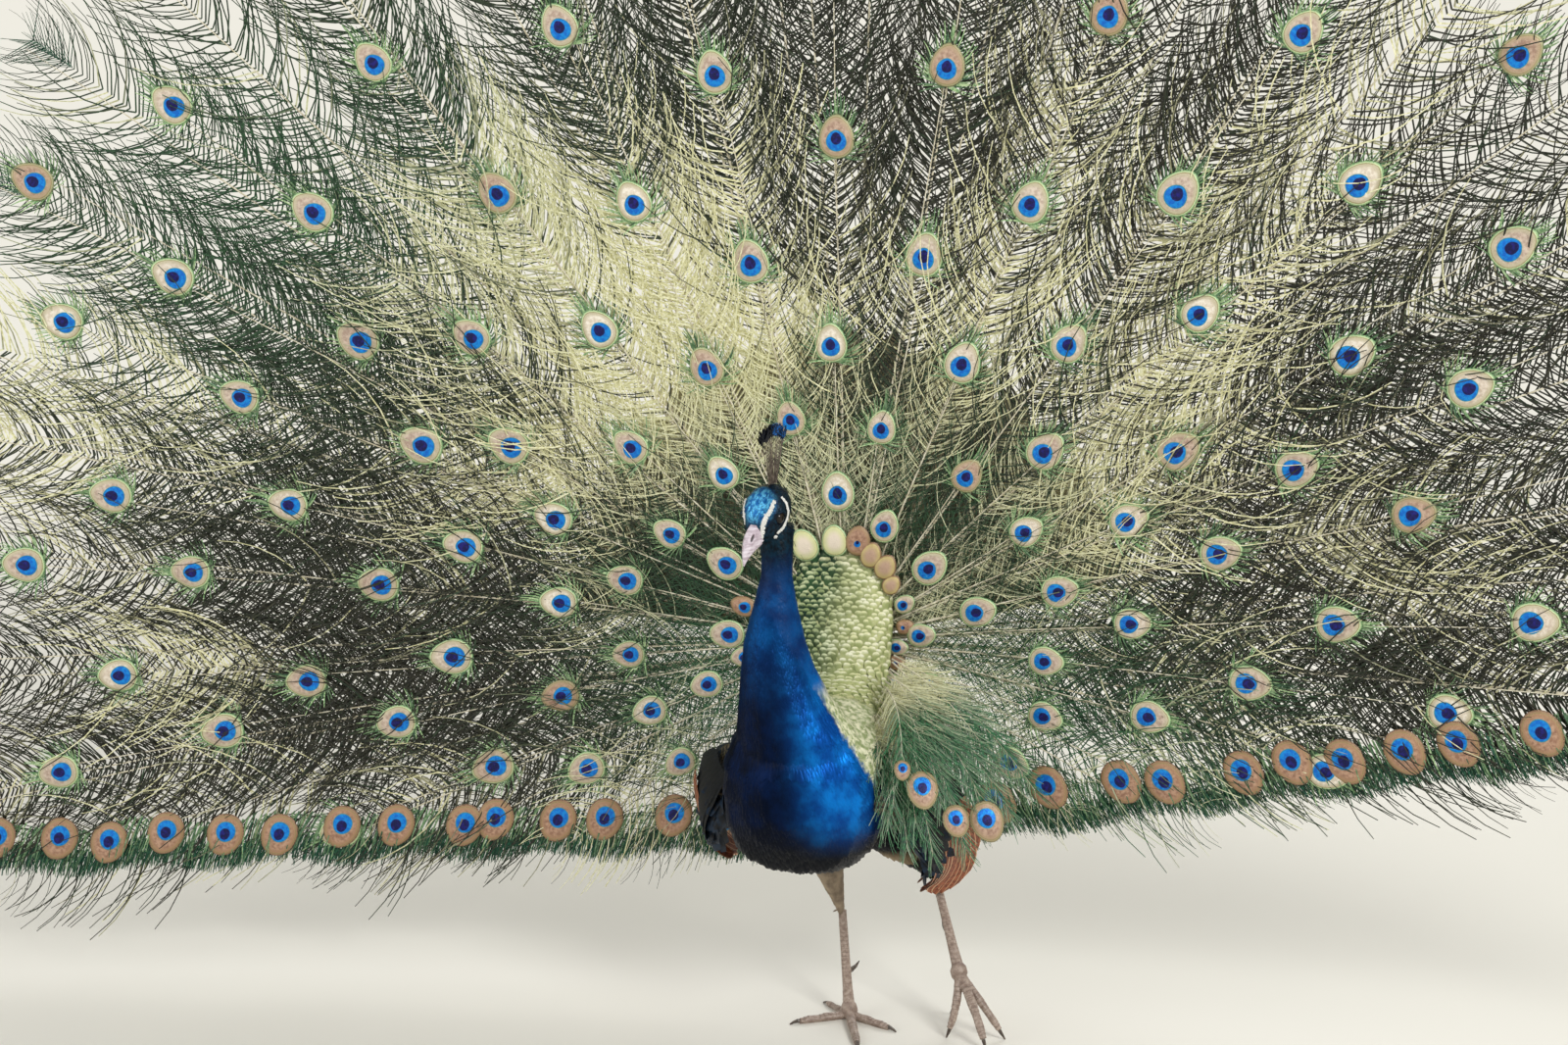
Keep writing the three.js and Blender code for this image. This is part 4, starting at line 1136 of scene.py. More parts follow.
def eyespots(name, places, alongs, facings, size, blunt, kind):
    """One piece with an eyespot at each place."""
    bundle = Bundle()
    cells = math.ceil(math.sqrt(len(places)))
    turns = np.arange(SPOT_SIDES) * 2 * math.pi / SPOT_SIDES
    for i, (place, along, face) in enumerate(zip(places, alongs, facings)):
        cell = (np.array([i % cells, i // cells]) + 0.5) / cells
        spots, ideals = [], []
        for ring in range(SPOT_RINGS + 1):
            share = SPOT_REACH * ring / SPOT_RINGS
            x, y = egg(share, turns, blunt) if ring else (np.zeros(1), np.zeros(1))
            dome = 0.0035 * (1 - (share / SPOT_REACH) ** 2) - 0.0010 * (share > 1.05)
            wave = 0.0006 * np.sin(turns[:len(x)] * 5 + i) * (share / SPOT_REACH) ** 2
            spots.append(place + face * (dome + wave)[:, None]
                         + (np.cross(along, face) * x[:, None] + along * y[:, None]) * EYE_LONG * size[i])
            ideals.append(share * np.stack([np.sin(turns), np.cos(turns)], axis=-1)[:len(x)])
        ideal, first = np.concatenate(ideals), bundle.count
        faces = [(first, first + 1 + (j + 1) % SPOT_SIDES, first + 1 + j) for j in range(SPOT_SIDES)]
        bundle.add(np.concatenate(spots), cell + ideal * 0.40 / cells,
                   faces + ring_faces(first + 1, SPOT_RINGS - 1, SPOT_SIDES),
                   np.concatenate([ideal, np.full((len(ideal), 1), kind[i])], axis=1))
    bundle.piece(name, eyespot.material, "train", keep="spot")


eyespot = Finish("eyespot", roughness=0.38, metallic=0.2)
x, y, kind = eyespot.parts("spot")
jitter = (eyespot.noise(420, 3) - 0.5) * 0.10
far = (x * x + y * y) ** 0.5 + jitter * 0.6
shrunk = 1 + kind.over(0.95, 1.6) * 1.6
disc = (x * x * 0.82 + (y + 0.20) * (y + 0.20)) ** 0.5 * shrunk + jitter * 0.25
heart = (x * x + (y + 0.08) * (y + 0.08)) ** 0.5 * shrunk + jitter * 0.2
swirl = eyespot.noise(240, 2)
soft_swirl = swirl.over(0.3, 0.7)
streaks = eyespot.noise(700, 2).over(0.35, 0.65)
rusty = kind.over(0.2, 0.8) * kind.over(1.98, 1.88)
blank = kind.over(1.65, 1.75)
colour = rusty.mix(soft_swirl.mix(srgb(172, 148, 132), srgb(212, 194, 176)),
                   soft_swirl.mix(srgb(146, 108, 86), srgb(190, 152, 126)))
colour = kind.over(-0.2, -0.9).mix(colour, soft_swirl.mix(srgb(216, 202, 180), srgb(244, 236, 220)))
colour = far.over(0.70, 0.95).mix(colour, rusty.mix(srgb(196, 186, 156), srgb(168, 132, 100)))
colour = disc.over(0.58, 0.54).mix(colour, srgb(30, 140, 150))
colour = disc.over(0.54, 0.50).mix(colour, swirl.over(0.35, 0.65).mix(srgb(0, 104, 206), srgb(10, 140, 226)))
colour = heart.over(0.34, 0.30).mix(colour, swirl.over(0.4, 0.7).mix(srgb(8, 12, 74), srgb(26, 26, 120)))
plain = far.over(0.35, 1.0).mix(rusty.mix(srgb(238, 224, 204), srgb(190, 158, 134)),
                                rusty.mix(srgb(214, 216, 156), srgb(196, 176, 116)))
colour = far.over(0.97, 1.01).mix(blank.mix(colour, plain), srgb(146, 132, 84))
colour = far.over(1.01, 1.04).mix(colour, rusty.mix(srgb(196, 214, 164), srgb(158, 124, 92)))
colour = far.over(1.06, 1.12).mix(colour, rusty.mix(streaks.mix(srgb(62, 118, 72), srgb(146, 182, 124)),
                                                    streaks.mix(srgb(84, 62, 44), srgb(150, 118, 88))))
eyespot.wear(base_color=colour, metallic=0.10 + disc.over(0.56, 0.50) * (1 - blank) * 0.35,
             normal=eyespot.bump(streaks, 0.3, 0.0006))

eyed = quills[:, 2] == EYED
grown = ease(0.10, 0.48, quills[eyed, 1]) * 0.30 + 0.72
eyespots("train_eyespots",
         *on_fan(quills[eyed, 0], quills[eyed, 1], quill_proud[eyed] + 0.005, quills[eyed, 0]),
         grown * shuffle.uniform(0.94, 1.06, eyed.sum()), 0.0, shuffle.uniform(-1.0, 0.6, eyed.sum()))

# Round the back lie the smallest coverts: plain pale discs at its top, and little eyespots down its sides.
# Each: the angle from up in degrees, the distance in millimetres, the size and the kind.
NEAR_SPOTS = np.array([
    (-17, 130, 0.78, BLANK), (0, 128, 0.76, BLANK), (13, 130, 0.72, SMALL_HEART),
    (22, 117, 0.62, BLANK_RUSTY), (33, 111, 0.62, BLANK_RUSTY), (43, 97, 0.50, BLANK_RUSTY),
    (60, 92, 0.52, TAN), (77, 80, 0.44, SMALL_HEART), (96, 68, 0.48, TAN), (113, 70, 0.46, SMALL_HEART),
    (132, 80, 0.50, TAN), (24, 157, 0.80, TAN), (52, 145, 0.92, TAN), (79, 172, 0.88, TAN),
    (86, 98, 0.68, TAN), (121, 121, 0.86, TAN),
    (3, 189, 0.95, CREAM), (-52, 176, 0.92, TAN), (-83, 147, 0.85, TAN), (-104, 183, 0.80, TAN),
    (-66, 132, 0.60, RUSTY), (-95, 128, 0.60, TAN)])
near_angle, near_at = np.radians(NEAR_SPOTS[:, 0]), NEAR_SPOTS[:, 1] / 1000
near_proud = 0.026 - 0.004 * (NEAR_SPOTS[:, 2] > 0.7) + 0.0015 * (np.arange(len(near_at)) % 3)
eyespots("back_eyespots", *on_fan(near_angle, near_at, near_proud, near_angle), NEAR_SPOTS[:, 2], 0.06,
         NEAR_SPOTS[:, 3])
# The scales of the back, which end under these.
plant("back_scales", shape_of("scale vane", grid_mesh("scale vane", 7, 4, scale_point)), scaly.material,
      "back_scales", scale_spots, scale_sizes, along=np.array(scale_ways), face=np.array(scale_faces),
      root=np.array(scale_roots))

# Green barbs close round each eyespot, sweeping past it into a dark point.
FRINGE = 46
fringe_shape = ribbon_shape("fringe", 12, -8, segments=3, root=6.5, tip=2.2)
angle, length = np.repeat(quills[eyed, 0], FRINGE), np.repeat(quills[eyed, 1], FRINGE)
scale, proud = np.repeat(grown, FRINGE), np.repeat(quill_proud[eyed], FRINGE)
turns = np.tile(np.linspace(-math.pi, math.pi, FRINGE, endpoint=False), eyed.sum())
turns = turns + shuffle.normal(0, 0.05, len(turns))
x, y = egg(np.full(len(turns), 1.06), turns, 0.0)
x, y = x * EYE_LONG * scale, y * EYE_LONG * scale
across = (length + y) * np.sin(angle) + x * np.cos(angle)
rise = (length + y) * np.cos(angle) - x * np.sin(angle)
along, face = bowl_axes(across, rise, angle + turns * (0.30 + 0.32 * (np.abs(turns) / math.pi) ** 1.5))
face = ruffled(face, 0.16)
long_fringe = (0.019 + 0.008 * np.exp(-((turns / 0.5) ** 2)) + 0.006 * (np.abs(turns) > 1.9))
long_fringe = long_fringe * scale * shuffle.uniform(0.8, 1.25, len(turns))
leafy_barbs = Finish("green fringe", roughness=0.4, metallic=0.3)
speck = leafy_barbs.noise(300, 2).over(0.3, 0.7)
leafy_barbs.wear(base_color=leafy_barbs.kept("pale").mix(speck.mix(srgb(6, 42, 32), srgb(18, 88, 62)),
                                                         speck.mix(srgb(112, 164, 104), srgb(198, 220, 170))))
plant("train_fringe", fringe_shape, leafy_barbs.material, "train", bowl(across, rise, proud + 0.0015),
      long_fringe, along=along, face=face, root=unfold(across, rise),
      pale=np.clip(shuffle.uniform(0.1, 1.1, len(turns)), 0, 1))

# Fish-tail ends round the rim: long barbs that spread into a dark crescent.
FORK = 60
forked = quills[:, 2] == FORKED
fork_shape = ribbon_shape("fork", 0, 0, segments=3, root=1.8, tip=0.7)
angle, length = np.repeat(quills[forked, 0], FORK), np.repeat(quills[forked, 1], FORK)
spread = np.tile(np.linspace(-1, 1, FORK), forked.sum())
at = length - 0.055 * np.tile(np.linspace(0, 1, FORK) % 0.25 * 4, forked.sum())
across, rise = at * np.sin(angle), at * np.cos(angle)
along, face = bowl_axes(across, rise, angle + spread * 1.15)
face = ruffled(face, 0.12)
long_fork = (0.016 + 0.040 * np.abs(spread) ** 0.7) * shuffle.uniform(0.85, 1.1, len(spread))
plant("train_forks", fork_shape, leafy_barbs.material, "train", bowl(across, rise, 0.004), long_fork,
      along=along, face=face, root=unfold(across, rise), pale=np.zeros(len(spread)))

# Along the lower edges lie shorter coverts, whose rusty eyespots overlap a dense hanging green fringe.
SWORD_GAP = 0.0008
HEM_NEAR, HEM_FAR = 0.07, 1.16
# Each layer: how high it starts, how long and how sparse its barbs are, and how pale.
HEM_LAYERS = ((0.024, 0.034, 1.0, 0.0), (0.016, 0.026, 1.2, -0.1), (0.052, 0.048, 3.4, 0.30))
hem, hem_spots = [], []
for side in (1, -1):
    for layer, (raised, long_sword, sparse, pale) in enumerate(HEM_LAYERS):
        count = int((HEM_FAR - HEM_NEAR) / SWORD_GAP / sparse)
        across = HEM_NEAR + (HEM_FAR - HEM_NEAR) * (np.arange(count) + shuffle.uniform(0, 1, count)) / count
        rise = -HEM_DROP + HEM_RISE[side] * across + raised + shuffle.normal(0, 0.003, count)
        rise = rise + 0.006 * np.sin(across * 38 + side)
        lean = math.pi - 0.42 + shuffle.normal(0, 0.10, count)
        along, face = bowl_axes(side * across, rise, side * lean)
        face = ruffled(face, 0.14)
        length = long_sword * shuffle.uniform(0.85, 1.15, count)
        hem.append((bowl(side * across, rise, 0.010 + 0.002 * layer), length, along, face,
                    unfold(side * across, rise), np.clip(shuffle.normal(pale, 0.20, count), 0, 1)))
    for across in np.arange(0.105, 1.12, 0.070):
        across = across + shuffle.normal(0, 0.010)
        rise = -HEM_DROP + HEM_RISE[side] * across + 0.030 + shuffle.uniform(0, 0.016)
        hem_spots.append((math.atan2(side * across, rise), math.hypot(across, rise), 0.019,
                          side * (math.pi - 0.5)))
spots, length, along, face, root, pale = [np.concatenate(part) for part in zip(*hem)]
plant("train_swords", ribbon_shape("sword", 10, -6, root=3.4, tip=1.6), leafy_barbs.material, "train", spots,
      length, along=along, face=face, root=root, pale=pale)
eyespots("train_hem_eyespots", *on_fan(*np.array(hem_spots).T), np.full(len(hem_spots), 1.08), 0.16,
         np.full(len(hem_spots), RUSTY))

# From the back's left edge long coverts fall in an arch over the folded wing: cream quills with emerald
# barbs, some with an eyespot. Each: where it starts and ends, in millimetres, and its eyespot's size or 0.
FLANK_COVERTS = (
    ((46, -35, 435), (83, -128, 361), 0.46), ((42, -40, 418), (107, -128, 339), 0.86),
    ((49, -30, 446), (144, -112, 300), 0.72), ((53, -20, 461), (177, -88, 294), 0.92),
    ((38, -50, 403), (67, -128, 288), 0), ((36, -55, 389), (90, -124, 267), 0),
    ((42, -45, 411), (119, -118, 260), 0), ((46, -35, 435), (155, -98, 260), 0),
    ((51, -25, 454), (205, -62, 290), 0), ((54, -15, 468), (226, -30, 317), 0),
    ((52, -18, 464), (189, -48, 337), 0), ((49, -30, 446), (127, -80, 367), 0),
    ((44, -38, 429), (103, -100, 376), 0), ((34, -58, 387), (48, -120, 341), 0),
    ((40, -48, 404), (100, -126, 299), 0), ((47, -32, 440), (168, -84, 323), 0),
    ((50, -26, 452), (127, -112, 318), 0), ((37, -52, 397), (74, -128, 319), 0))
FLANK_SIDES, FLANK_STEPS, FLANK_GAP = 4, 12, 0.0022
FLANK_LIFT, FLANK_FACE = np.array([0.016, -0.012, 0.030]), unit(np.array([0.30, -0.93, 0.22]))
flank_quills = Bundle()
barb_rows, flank_eyes = [], []
for number, (start, end, spotted) in enumerate(FLANK_COVERTS):
    start, end = np.array(start) / 1000, np.array(end) / 1000
    lift = start + (end - start) * 0.45 + FLANK_LIFT
    share = np.linspace(0, 1, FLANK_STEPS + 1)[:, None]
    centre = start * (1 - share) ** 2 + lift * 2 * share * (1 - share) + end * share**2
    along = unit(np.gradient(centre, axis=0))
    face = unit(FLANK_FACE - along * np.sum(FLANK_FACE * along, axis=1, keepdims=True))
    wide = np.cross(along, face)
    steps = np.arange(FLANK_STEPS + 1)
    cells = np.stack([np.full(len(steps), (number + 0.5) / len(FLANK_COVERTS)), (steps + 0.5) / len(steps)],
                     axis=-1)
    add_tube(flank_quills, centre, along, face, 0.0011 - 0.0008 * steps / FLANK_STEPS, FLANK_SIDES, cells,
             0.02)
    long_quill = np.linalg.norm(np.diff(centre, axis=0), axis=1).sum()
    for at in np.arange(0.06, 1.0, FLANK_GAP / long_quill):
        at = at + shuffle.normal(0, 0.004)
        i = min(max(at, 0), 0.999) * FLANK_STEPS
        f, i = i % 1, int(i)
        spot = centre[i] * (1 - f) + centre[i + 1] * f
        for side in (1, -1):
            splay = 0.75 - 0.40 * at + shuffle.normal(0, 0.10)
            heading = unit(along[i] * math.cos(splay) + side * wide[i] * math.sin(splay)
                           + np.array([0, 0, -0.25]))
            barb_rows.append((spot, heading, unit(face[i] + shuffle.normal(0, 0.12, 3)),
                              shuffle.uniform(0.030, 0.046) * (0.7 + 0.4 * math.sin(math.pi * at)), at))
    if spotted:
        flank_eyes.append((centre[-1] + face[-1] * 0.006, along[-1], face[-1], spotted))
spots, ways, facings, long_barb, along_quill = [np.array(part) for part in zip(*barb_rows)]
count = len(spots)
plant("flank_barbs", ribbon_shape("flank barb", 6, -10, root=2.2, tip=1.0), loose.material, "train", spots,
      long_barb, along=ways, face=facings,
      root=np.stack([0.05 + 0.9 * shuffle.random(count), 0.05 + 0.9 * shuffle.random(count), np.zeros(count)],
                    axis=-1),
      pale=np.clip(shuffle.normal(0.06, 0.24, count) + ease(0.58, 0.22, along_quill), 0, 1),
      green=1 - 0.85 * ease(0.52, 0.20, along_quill))
flank_quills.piece("flank_quills", horn.material, "train")
places, alongs, facings, sizes = zip(*flank_eyes)
eyespots("flank_eyespots", places, alongs, facings, sizes, 0.10, np.full(len(sizes), 0.6))


# ---------------------------------------------------------------------------------------------- wings
# The wings droop beside the body: barred coverts at the shoulder, black secondaries over them, and chestnut
# primaries that fan out below with pale edges.
WING_ROWS = np.array([(0.046, -0.100, 0.374, 0.026, 0.012), (0.092, -0.078, 0.324, 0.050, 0.015),
                      (0.126, -0.036, 0.266, 0.058, 0.014), (0.124, 0.010, 0.206, 0.052, 0.012),
                      (0.105, 0.036, 0.155, 0.024, 0.005)])
WING_FACES = np.array([(0.9, -0.22, 0.36), (0.6, -0.75, 0.3)])
BODY_MIDDLE = -0.030
WING_WAYS = {"left": (1, 1.15, 0.0), "right": (-1, 1.05, 0.034)}  # side, spread and lift


def through(rows, share):
    """A smooth curve through the rows, at a share of the way."""
    last = len(rows) - 1
    at = min(max(share, 0), 1) * last
    i = min(int(at), last - 1)
    f = at - i
    a, b, c, d = (rows[min(max(i + k, 0), last)] for k in (-1, 0, 1, 2))
    return b + f * (c - a + f * (2 * a - 5 * b + 4 * c - d + f * (3 * (b - c) + d - a))) / 2


def wing_frame(word, share):
    """The wing's middle, the ways across and out of it, and its half-chord and half-thickness."""
    side, spread, lift = WING_WAYS[word]
    row = through(WING_ROWS, share)
    along = unit(through(WING_ROWS, share + 0.01)[:3] - through(WING_ROWS, share - 0.01)[:3])
    across = unit(np.cross(WING_FACES[0] + (WING_FACES[1] - WING_FACES[0]) * share, along))
    outward = np.cross(along, across)
    mirror = np.array([side, 1, 1])
    at = np.array([BODY_MIDDLE + side * spread * row[0], row[1], row[2] + lift * share])
    return at, across * mirror, outward * mirror, row[3], row[4]


ACROSS = np.linspace(-1, 1, 7)  # the steps across a long vane
VANE_ROWS = 16


def add_vane(bundle, rows, number, count, kind, row_at, flipped=False):
    """Adds a long vane to a bundle, from the places across it at each share of its length."""
    along, across = np.repeat(np.arange(rows + 1) / rows, len(ACROSS)), np.tile(ACROSS, rows + 1)
    flat = np.array([(number + 0.5) / count, 0.5]) + np.stack([across * 0.42 / count, (along - 0.5) * 0.9],
                                                              axis=-1)
    faces = grid_faces(rows, len(ACROSS) - 1, bundle.count)
    bundle.add(np.concatenate([row_at(i / rows) for i in range(rows + 1)]), flat,
               [face[::-1] for face in faces] if flipped else faces,
               np.stack([across, along, np.full(len(along), kind)], axis=-1))


def flight_feathers(name, word, slot, feathers, kind, *replaced):
    """One piece of long overlapping vanes that follow the wing. Each: where it starts and ends along the
    wing, where it lies across it, its half-width, and how far it stands off."""
    bundle = Bundle()
    for number, (start, end, lateral, half, raised) in enumerate(feathers):
        def row_at(along):
            at, across, outward, chord, thick = wing_frame(word, start + (end - start) * along)
            shift = lateral * (0.55 + 0.45 * along)
            tip = min(1, ((1 - along) / 0.16) ** 0.5) if along > 0.84 else 1
            wide = half * (0.45 + 0.55 * min(along / 0.3, 1)) * tip + 0.0002
            bulge = thick * math.sqrt(max(0, 1 - min(abs(shift), 1) ** 2))
            body = at + across * chord * shift + outward * (bulge + raised)
            cup = -0.10 * wide * ACROSS**2 + 0.0006 * (np.abs(ACROSS) < 0.05)
            return body + across * (ACROSS * wide)[:, None] + outward * cup[:, None]

        add_vane(bundle, VANE_ROWS, number, len(feathers), kind, row_at, flipped=WING_WAYS[word][0] < 0)
    bundle.piece(name, quill_vane.material, slot, *replaced, keep="vane")


quill_vane = Finish("flight feather", roughness=0.6, specular_ior_level=0.25)
across, along, kind = quill_vane.parts("vane")
off = abs(across)
lines = ((along * 46 + off * 5) * 6.0).wave()
grain = quill_vane.noise(220, 4, (1, 1, 1)).over(0.3, 0.7)
chestnut = off.over(0.80, 0.97).mix(grain.mix(srgb(92, 46, 30), srgb(160, 92, 62)), srgb(216, 178, 142))
colour = kind.mix(grain.mix(srgb(3, 5, 8), srgb(13, 18, 26)), chestnut)
colour = off.over(0.10, 0.03).mix(colour, kind.mix(srgb(24, 22, 20), srgb(196, 150, 112)))
quill_vane.wear(base_color=colour, normal=quill_vane.bump(lines, 0.15, 0.0003))

barred = Finish("barred coverts", roughness=0.5)
bands = (barred.parts("UVMap")[1] * 22 + barred.noise(160, 3) * 7).wave()
barred.wear(base_color=bands.over(-0.15, 0.25).mix(srgb(20, 19, 17), srgb(92, 80, 58)))
dusky = Finish("dusky coverts", roughness=0.55, specular_ior_level=0.25)
dusky.wear(base_color=dusky.mottled(130, 3, (6, 10, 18), (12, 36, 58), 0.35, 0.65))
COVERT_VANE = vane_shape("covert vane", 0.68, 0.25, 0.06, rows=5)
SHOULDER_END, COVERT_END = 0.26, 0.62  # along the wing, from the shoulder to the wrist
ARM_INSET = 0.0022  # the arm's own skin, under the coverts' roots

for word in WING_WAYS:
    arm = remeshed("wing_arm_" + word, ["wing_" + word], 0.003, 5)
    place, way = vertices(arm.data), vertices(arm.data, "normal")
    place = place - way * ARM_INSET
    move(arm, place)
    shoulder, wrist = wing_frame(word, 0)[0], wing_frame(word, 1)[0]
    fall = unit(wrist - shoulder)
    store(arm.data, "lie", unit(np.tile(fall, (len(place), 1)) - way * (way @ fall)[:, None]))
    share = ((place - shoulder) @ fall) / np.linalg.norm(wrist - shoulder)
    unwrap(arm)
    store(arm.data, "upper", (share < SHOULDER_END) * 1.0)
    store(arm.data, "lower", (share >= SHOULDER_END) * (share < COVERT_END) * 1.0)
    for zone, finish, gap, length, width, seed in (("upper", barred, 0.0075, 0.022, 0.013, 21),
                                                   ("lower", dusky, 0.010, 0.030, 0.015, 22)):
        mesh = run_tree(arm, COAT_TREE, Vane=COVERT_VANE, Zone=zone, Gap=gap, Length=length, Width=width,
                        Tilt=0.10, Seed=seed, Patch=PATCH, Material=finish.material)
        add_piece("wing_coverts_%s_%s" % (zone, word), mesh, "wing_coverts")
    wear_material(arm, dusky.material)
    join_bird(arm, "wing_coverts", "wing_" + word)
    flight_feathers("wing_primaries_" + word, word, "primaries",
                    [(0.46, 0.93 - 0.010 * (i - 4) ** 2, -0.84 + 0.21 * i, 0.0150, 0.0012 * i)
                     for i in range(9)], 1.0, "primaries_" + word)
    flight_feathers("wing_secondaries_" + word, word, "wing_coverts",
                    [(0.20 + 0.01 * i, 0.56 - 0.010 * i, -0.80 + 0.225 * i, 0.0130, 0.0022 + 0.0005 * i)
                     for i in range(8)], 0.0)
    flight_feathers("wing_undersides_" + word, word, "primaries",
                    [(0.55, 0.83 - 0.010 * (i - 2.5) ** 2, -0.7 + 0.28 * i, 0.013, -0.012 + 0.0006 * i)
                     for i in range(6)], 1.0)


# ---------------------------------------------------------------------------------------------- legs
# Buff, hair-like feathers end above the ankle. Below it the leg is bare: horny skin with broad plates down
# the front of the shank and over the toes. The claws and spurs are dark horn.
shaggy = Finish("thigh feathers", roughness=0.6)
x, _, z = shaggy.parts(shaggy.spot())
shaggy.wear(base_color=(x.over(0.030, 0.055) + z.over(0.175, 0.205)).over(0, 1).mix(
    shaggy.mottled(60, 3, (112, 96, 78), (166, 148, 124)), srgb(20, 20, 22)))
feather_coat("thigh_coat", legs * 1.0, "thigh_plumage", SMALL_VANE, shaggy.material, 0.0026, 0.0120, 0.0042,
             0.05, 31)

LEGS = {
    "right": ((-0.014, 0.028, 0.122), (0.0, 0.0, 0.011),
              {"inner": (0.064, -0.032), "middle": (0.030, -0.098), "outer": (-0.067, -0.036),
               "hind": (-0.040, 0.040)}),
    "left": ((0.096, 0.056, 0.172), (0.136, -0.006, 0.074),
             {"inner": (0.126, -0.036), "middle": (0.178, -0.064), "outer": (0.196, -0.026),
              "hind": (0.120, 0.040)}),
}
TOE_RADIUS = {"inner": 0.0054, "middle": 0.0060, "outer": 0.0054, "hind": 0.0044}
SHANK_ROWS = np.array([(0.07, 0.0053), (0.30, 0.0054), (0.72, 0.0061), (0.98, 0.0078)])
TOE_ROWS = np.array([(0.04, 1.0, 1.1), (0.22, 0.80, 0.92), (0.36, 0.85, 1.02), (0.50, 0.68, 0.84),
                     (0.66, 0.74, 0.90), (0.84, 0.48, 0.60)])  # share, height and radius, to the toe's own


def plate_point(along, across):
    """A horny plate of length 1 that wraps the front of a shank of radius 1."""
    turned = across * PLATE_WRAP
    flare = 1.004 + 0.016 * along
    return (math.sin(turned) * flare, along * 1.12, math.cos(turned) * flare)


PLATE_WRAP = math.radians(78)
PLATE = shape_of("plate", grid_mesh("plate", 2, 6, plate_point), smooth=False)
scuted = Finish("horny skin", roughness=0.55)
cells = scuted.source("ShaderNodeTexVoronoi", None, {"Vector": scuted.spot(), "Scale": 420})
scuted.wear(base_color=cells.over(0.0, 0.35).mix(
    srgb(84, 68, 54), scuted.mottled(110, 4, (128, 108, 96), (176, 158, 144))),
    normal=scuted.bump(cells, 0.3, 0.0005))
plated = Finish("shank plates", roughness=0.45)
plated.wear(base_color=plated.parts("UVMap")[1].over(0.86, 1.0).mix(
    plated.mottled(240, 4, (132, 112, 100), (180, 162, 148)), srgb(108, 90, 78)))
claw_horn = Finish("claw horn", roughness=0.35)
claw_horn.wear(base_color=claw_horn.mottled(300, 3, (44, 36, 30), (96, 82, 70)))

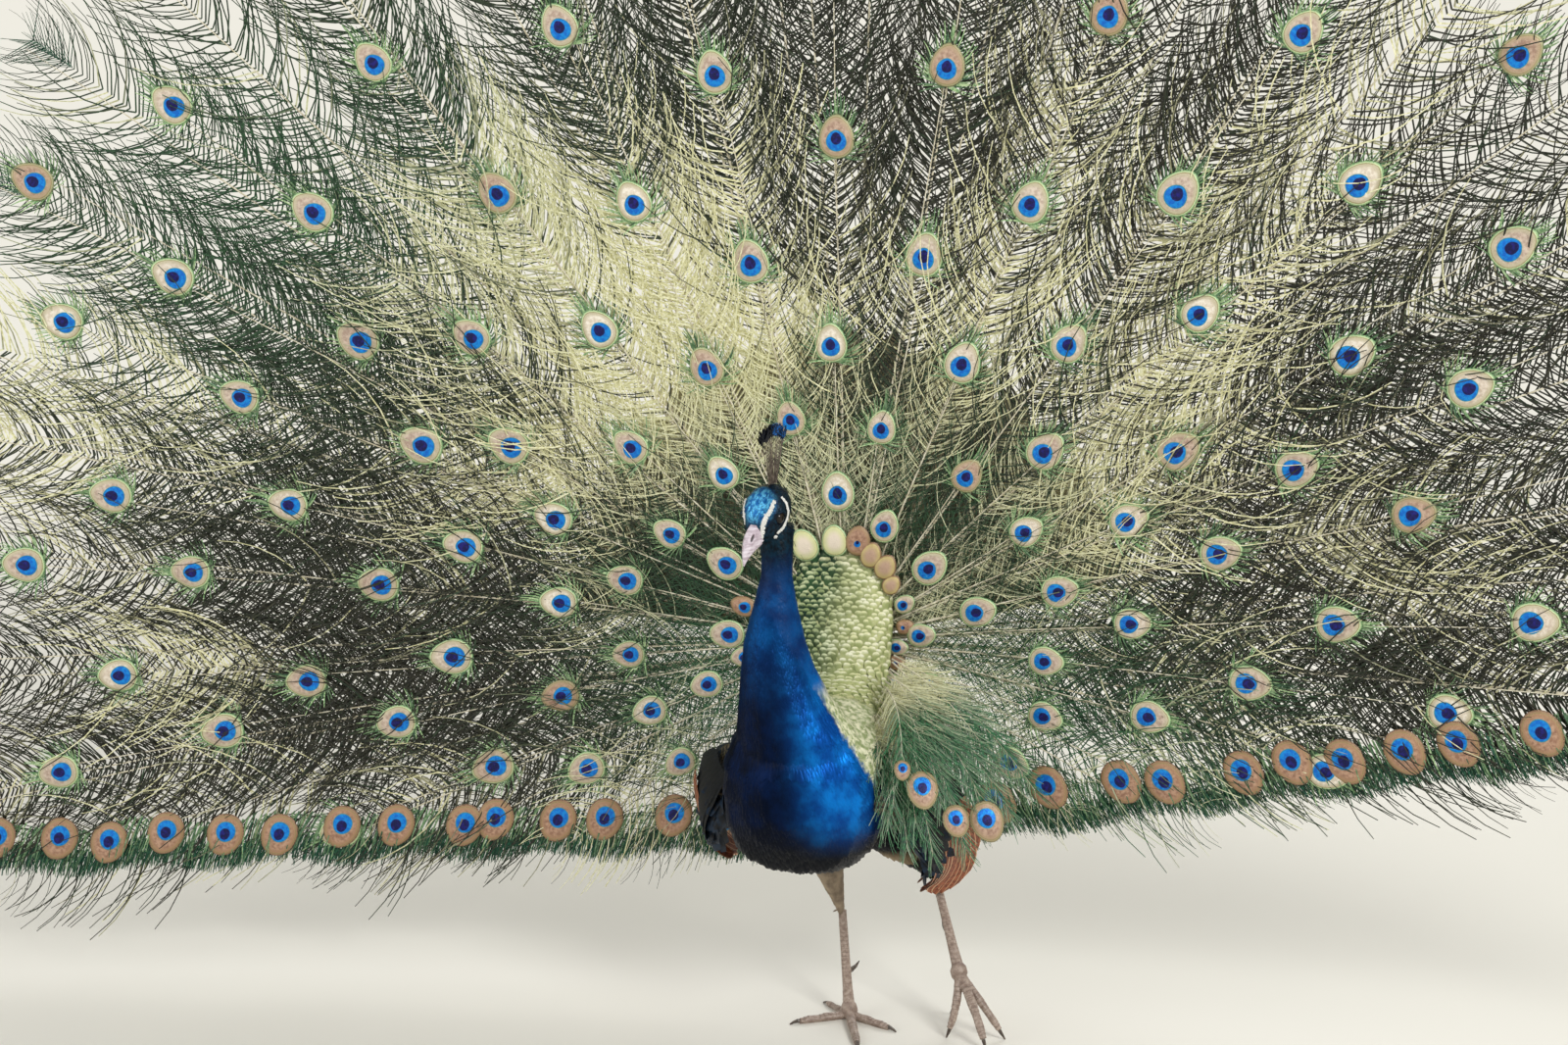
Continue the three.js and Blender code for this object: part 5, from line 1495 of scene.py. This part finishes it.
PLATE_GAP = 0.0047
for word, (ankle, ball, tips) in LEGS.items():
    ankle, ball = np.array(ankle), np.array(ball)
    lifted = ball[2] > 0.04
    bare_leg = remeshed("bare_leg_" + word, ["tarsus_" + word, "foot_" + word], 0.0012, 3)
    wear_material(bare_leg, scuted.material)
    join_bird(bare_leg, "leg_scales", "tarsus_" + word, "foot_" + word)
    centres, alongs, faces_to, sizes = [], [], [], []
    way = ball - ankle
    count = int(np.linalg.norm(way) * 0.86 / PLATE_GAP)
    for i in range(count):
        share = 0.06 + 0.86 * i / count
        radius = np.interp(share, SHANK_ROWS[:, 0], SHANK_ROWS[:, 1])
        along = unit(way)
        front = np.array([0.15 if word == "right" else 0.45, -1, 0])
        centres.append(ankle + way * share)
        alongs.append(along)
        faces_to.append(unit(front - along * (front @ along)))
        sizes.append((radius, PLATE_GAP, radius))
    for toe, tip in tips.items():
        own_radius = TOE_RADIUS[toe]
        end = np.array([*tip, 0.0006])

        def toe_at(share):
            at = ball + (end - ball) * share
            radius = own_radius * np.interp(share, TOE_ROWS[:, 0], TOE_ROWS[:, 2])
            if lifted:
                at = at + np.array([0.005, -0.009, 0]) * math.sin(math.pi * share)
            else:
                at[2] = own_radius * np.interp(share, TOE_ROWS[:, 0], TOE_ROWS[:, 1])
            return at, radius

        long_toe = np.linalg.norm(end - ball)
        count = int(long_toe * 0.66 / PLATE_GAP)
        for i in range(count):
            share = 0.16 + 0.66 * i / count
            at, radius = toe_at(share)
            along = unit(toe_at(share + 0.02)[0] - at)
            up = np.array([0, -0.4, 1.0]) if lifted else np.array([0, 0, 1.0])
            centres.append(at)
            alongs.append(along)
            faces_to.append(unit(up - along * (up @ along)))
            sizes.append((radius * 0.99, PLATE_GAP, radius * 0.99))
    number = len(centres)
    roots = np.stack([0.05 + 0.9 * (np.arange(number) % 12) / 12, 0.05 + 0.9 * (np.arange(number) // 12) / 12,
                      np.zeros(number)], axis=-1)
    plant("leg_plates_" + word, PLATE, plated.material, "leg_scales", np.array(centres), np.array(sizes),
          patch=0.04, along=np.array(alongs), face=np.array(faces_to), root=roots)
    for part in ["spur_" + word] + ["claw_%s_%s" % (toe, word) for toe in tips]:
        NODES[part].material_slots[0].material = claw_horn.material


# ---------------------------------------------------------------------------------------------- tail
# Behind the train: eighteen stiff brown tail feathers that prop it up, and loose grey-brown down at their
# roots.
TAIL_BACK, TAIL_RADIUS, TAIL_FEATHERS, TAIL_SPREAD = 0.024, 0.400, 18, 1.32
TAIL_ROWS = 14
tail = Bundle()
for number in range(TAIL_FEATHERS):
    lean = TAIL_SPREAD * (2 * number / (TAIL_FEATHERS - 1) - 1)
    long_feather = TAIL_RADIUS - 0.012 - 0.02 * abs(lean) + shuffle.uniform(-0.004, 0.004)

    def tail_row(along):
        radius = 0.045 + (long_feather - 0.045) * along
        tip = ((1 - along) / 0.12) ** 0.5 if along > 0.88 else 1
        wide = (0.008 + 0.022 * min(along / 0.5, 1)) * tip + 0.0003
        across = radius * math.sin(lean) + ACROSS * wide * math.cos(lean)
        rise = radius * math.cos(lean) - ACROSS * wide * math.sin(lean)
        return bowl(across, rise, -TAIL_BACK - 0.0008 * (number % 2) - 0.0016 * ACROSS - 0.001 * ACROSS**2)

    add_vane(tail, TAIL_ROWS, number, TAIL_FEATHERS, 0.0, tail_row)
stiff = Finish("tail feather", roughness=0.55)
across, along, _ = stiff.parts("vane")
wobble = stiff.noise(60, 3)
vane_tone = (along * 70 + wobble * 6).wave().over(-0.2, 0.6).mix(srgb(88, 80, 60), srgb(136, 126, 98))
vane_tone = along.over(0.55, 0.95).mix(vane_tone, srgb(164, 157, 130))
stiff.wear(base_color=abs(across).over(0.10, 0.04).mix(vane_tone, srgb(196, 182, 150)),
           normal=stiff.bump(wobble, 0.2, 0.0006))
tail.piece("tail_feathers", stiff.material, "tail_quills", "tail", keep="vane")

downy = Finish("undertail down", roughness=0.7)
downy.wear(base_color=downy.mottled(90, 3, (60, 52, 44), (128, 114, 96)))
DOWN_VANE = vane_shape("down vane", 0.5, 0.2, 0.22, rows=5)
feather_coat("undertail_coat", behind * 1.0, "undertail_down", DOWN_VANE, downy.material, 0.0085, 0.034,
             0.014, 0.30, 41)
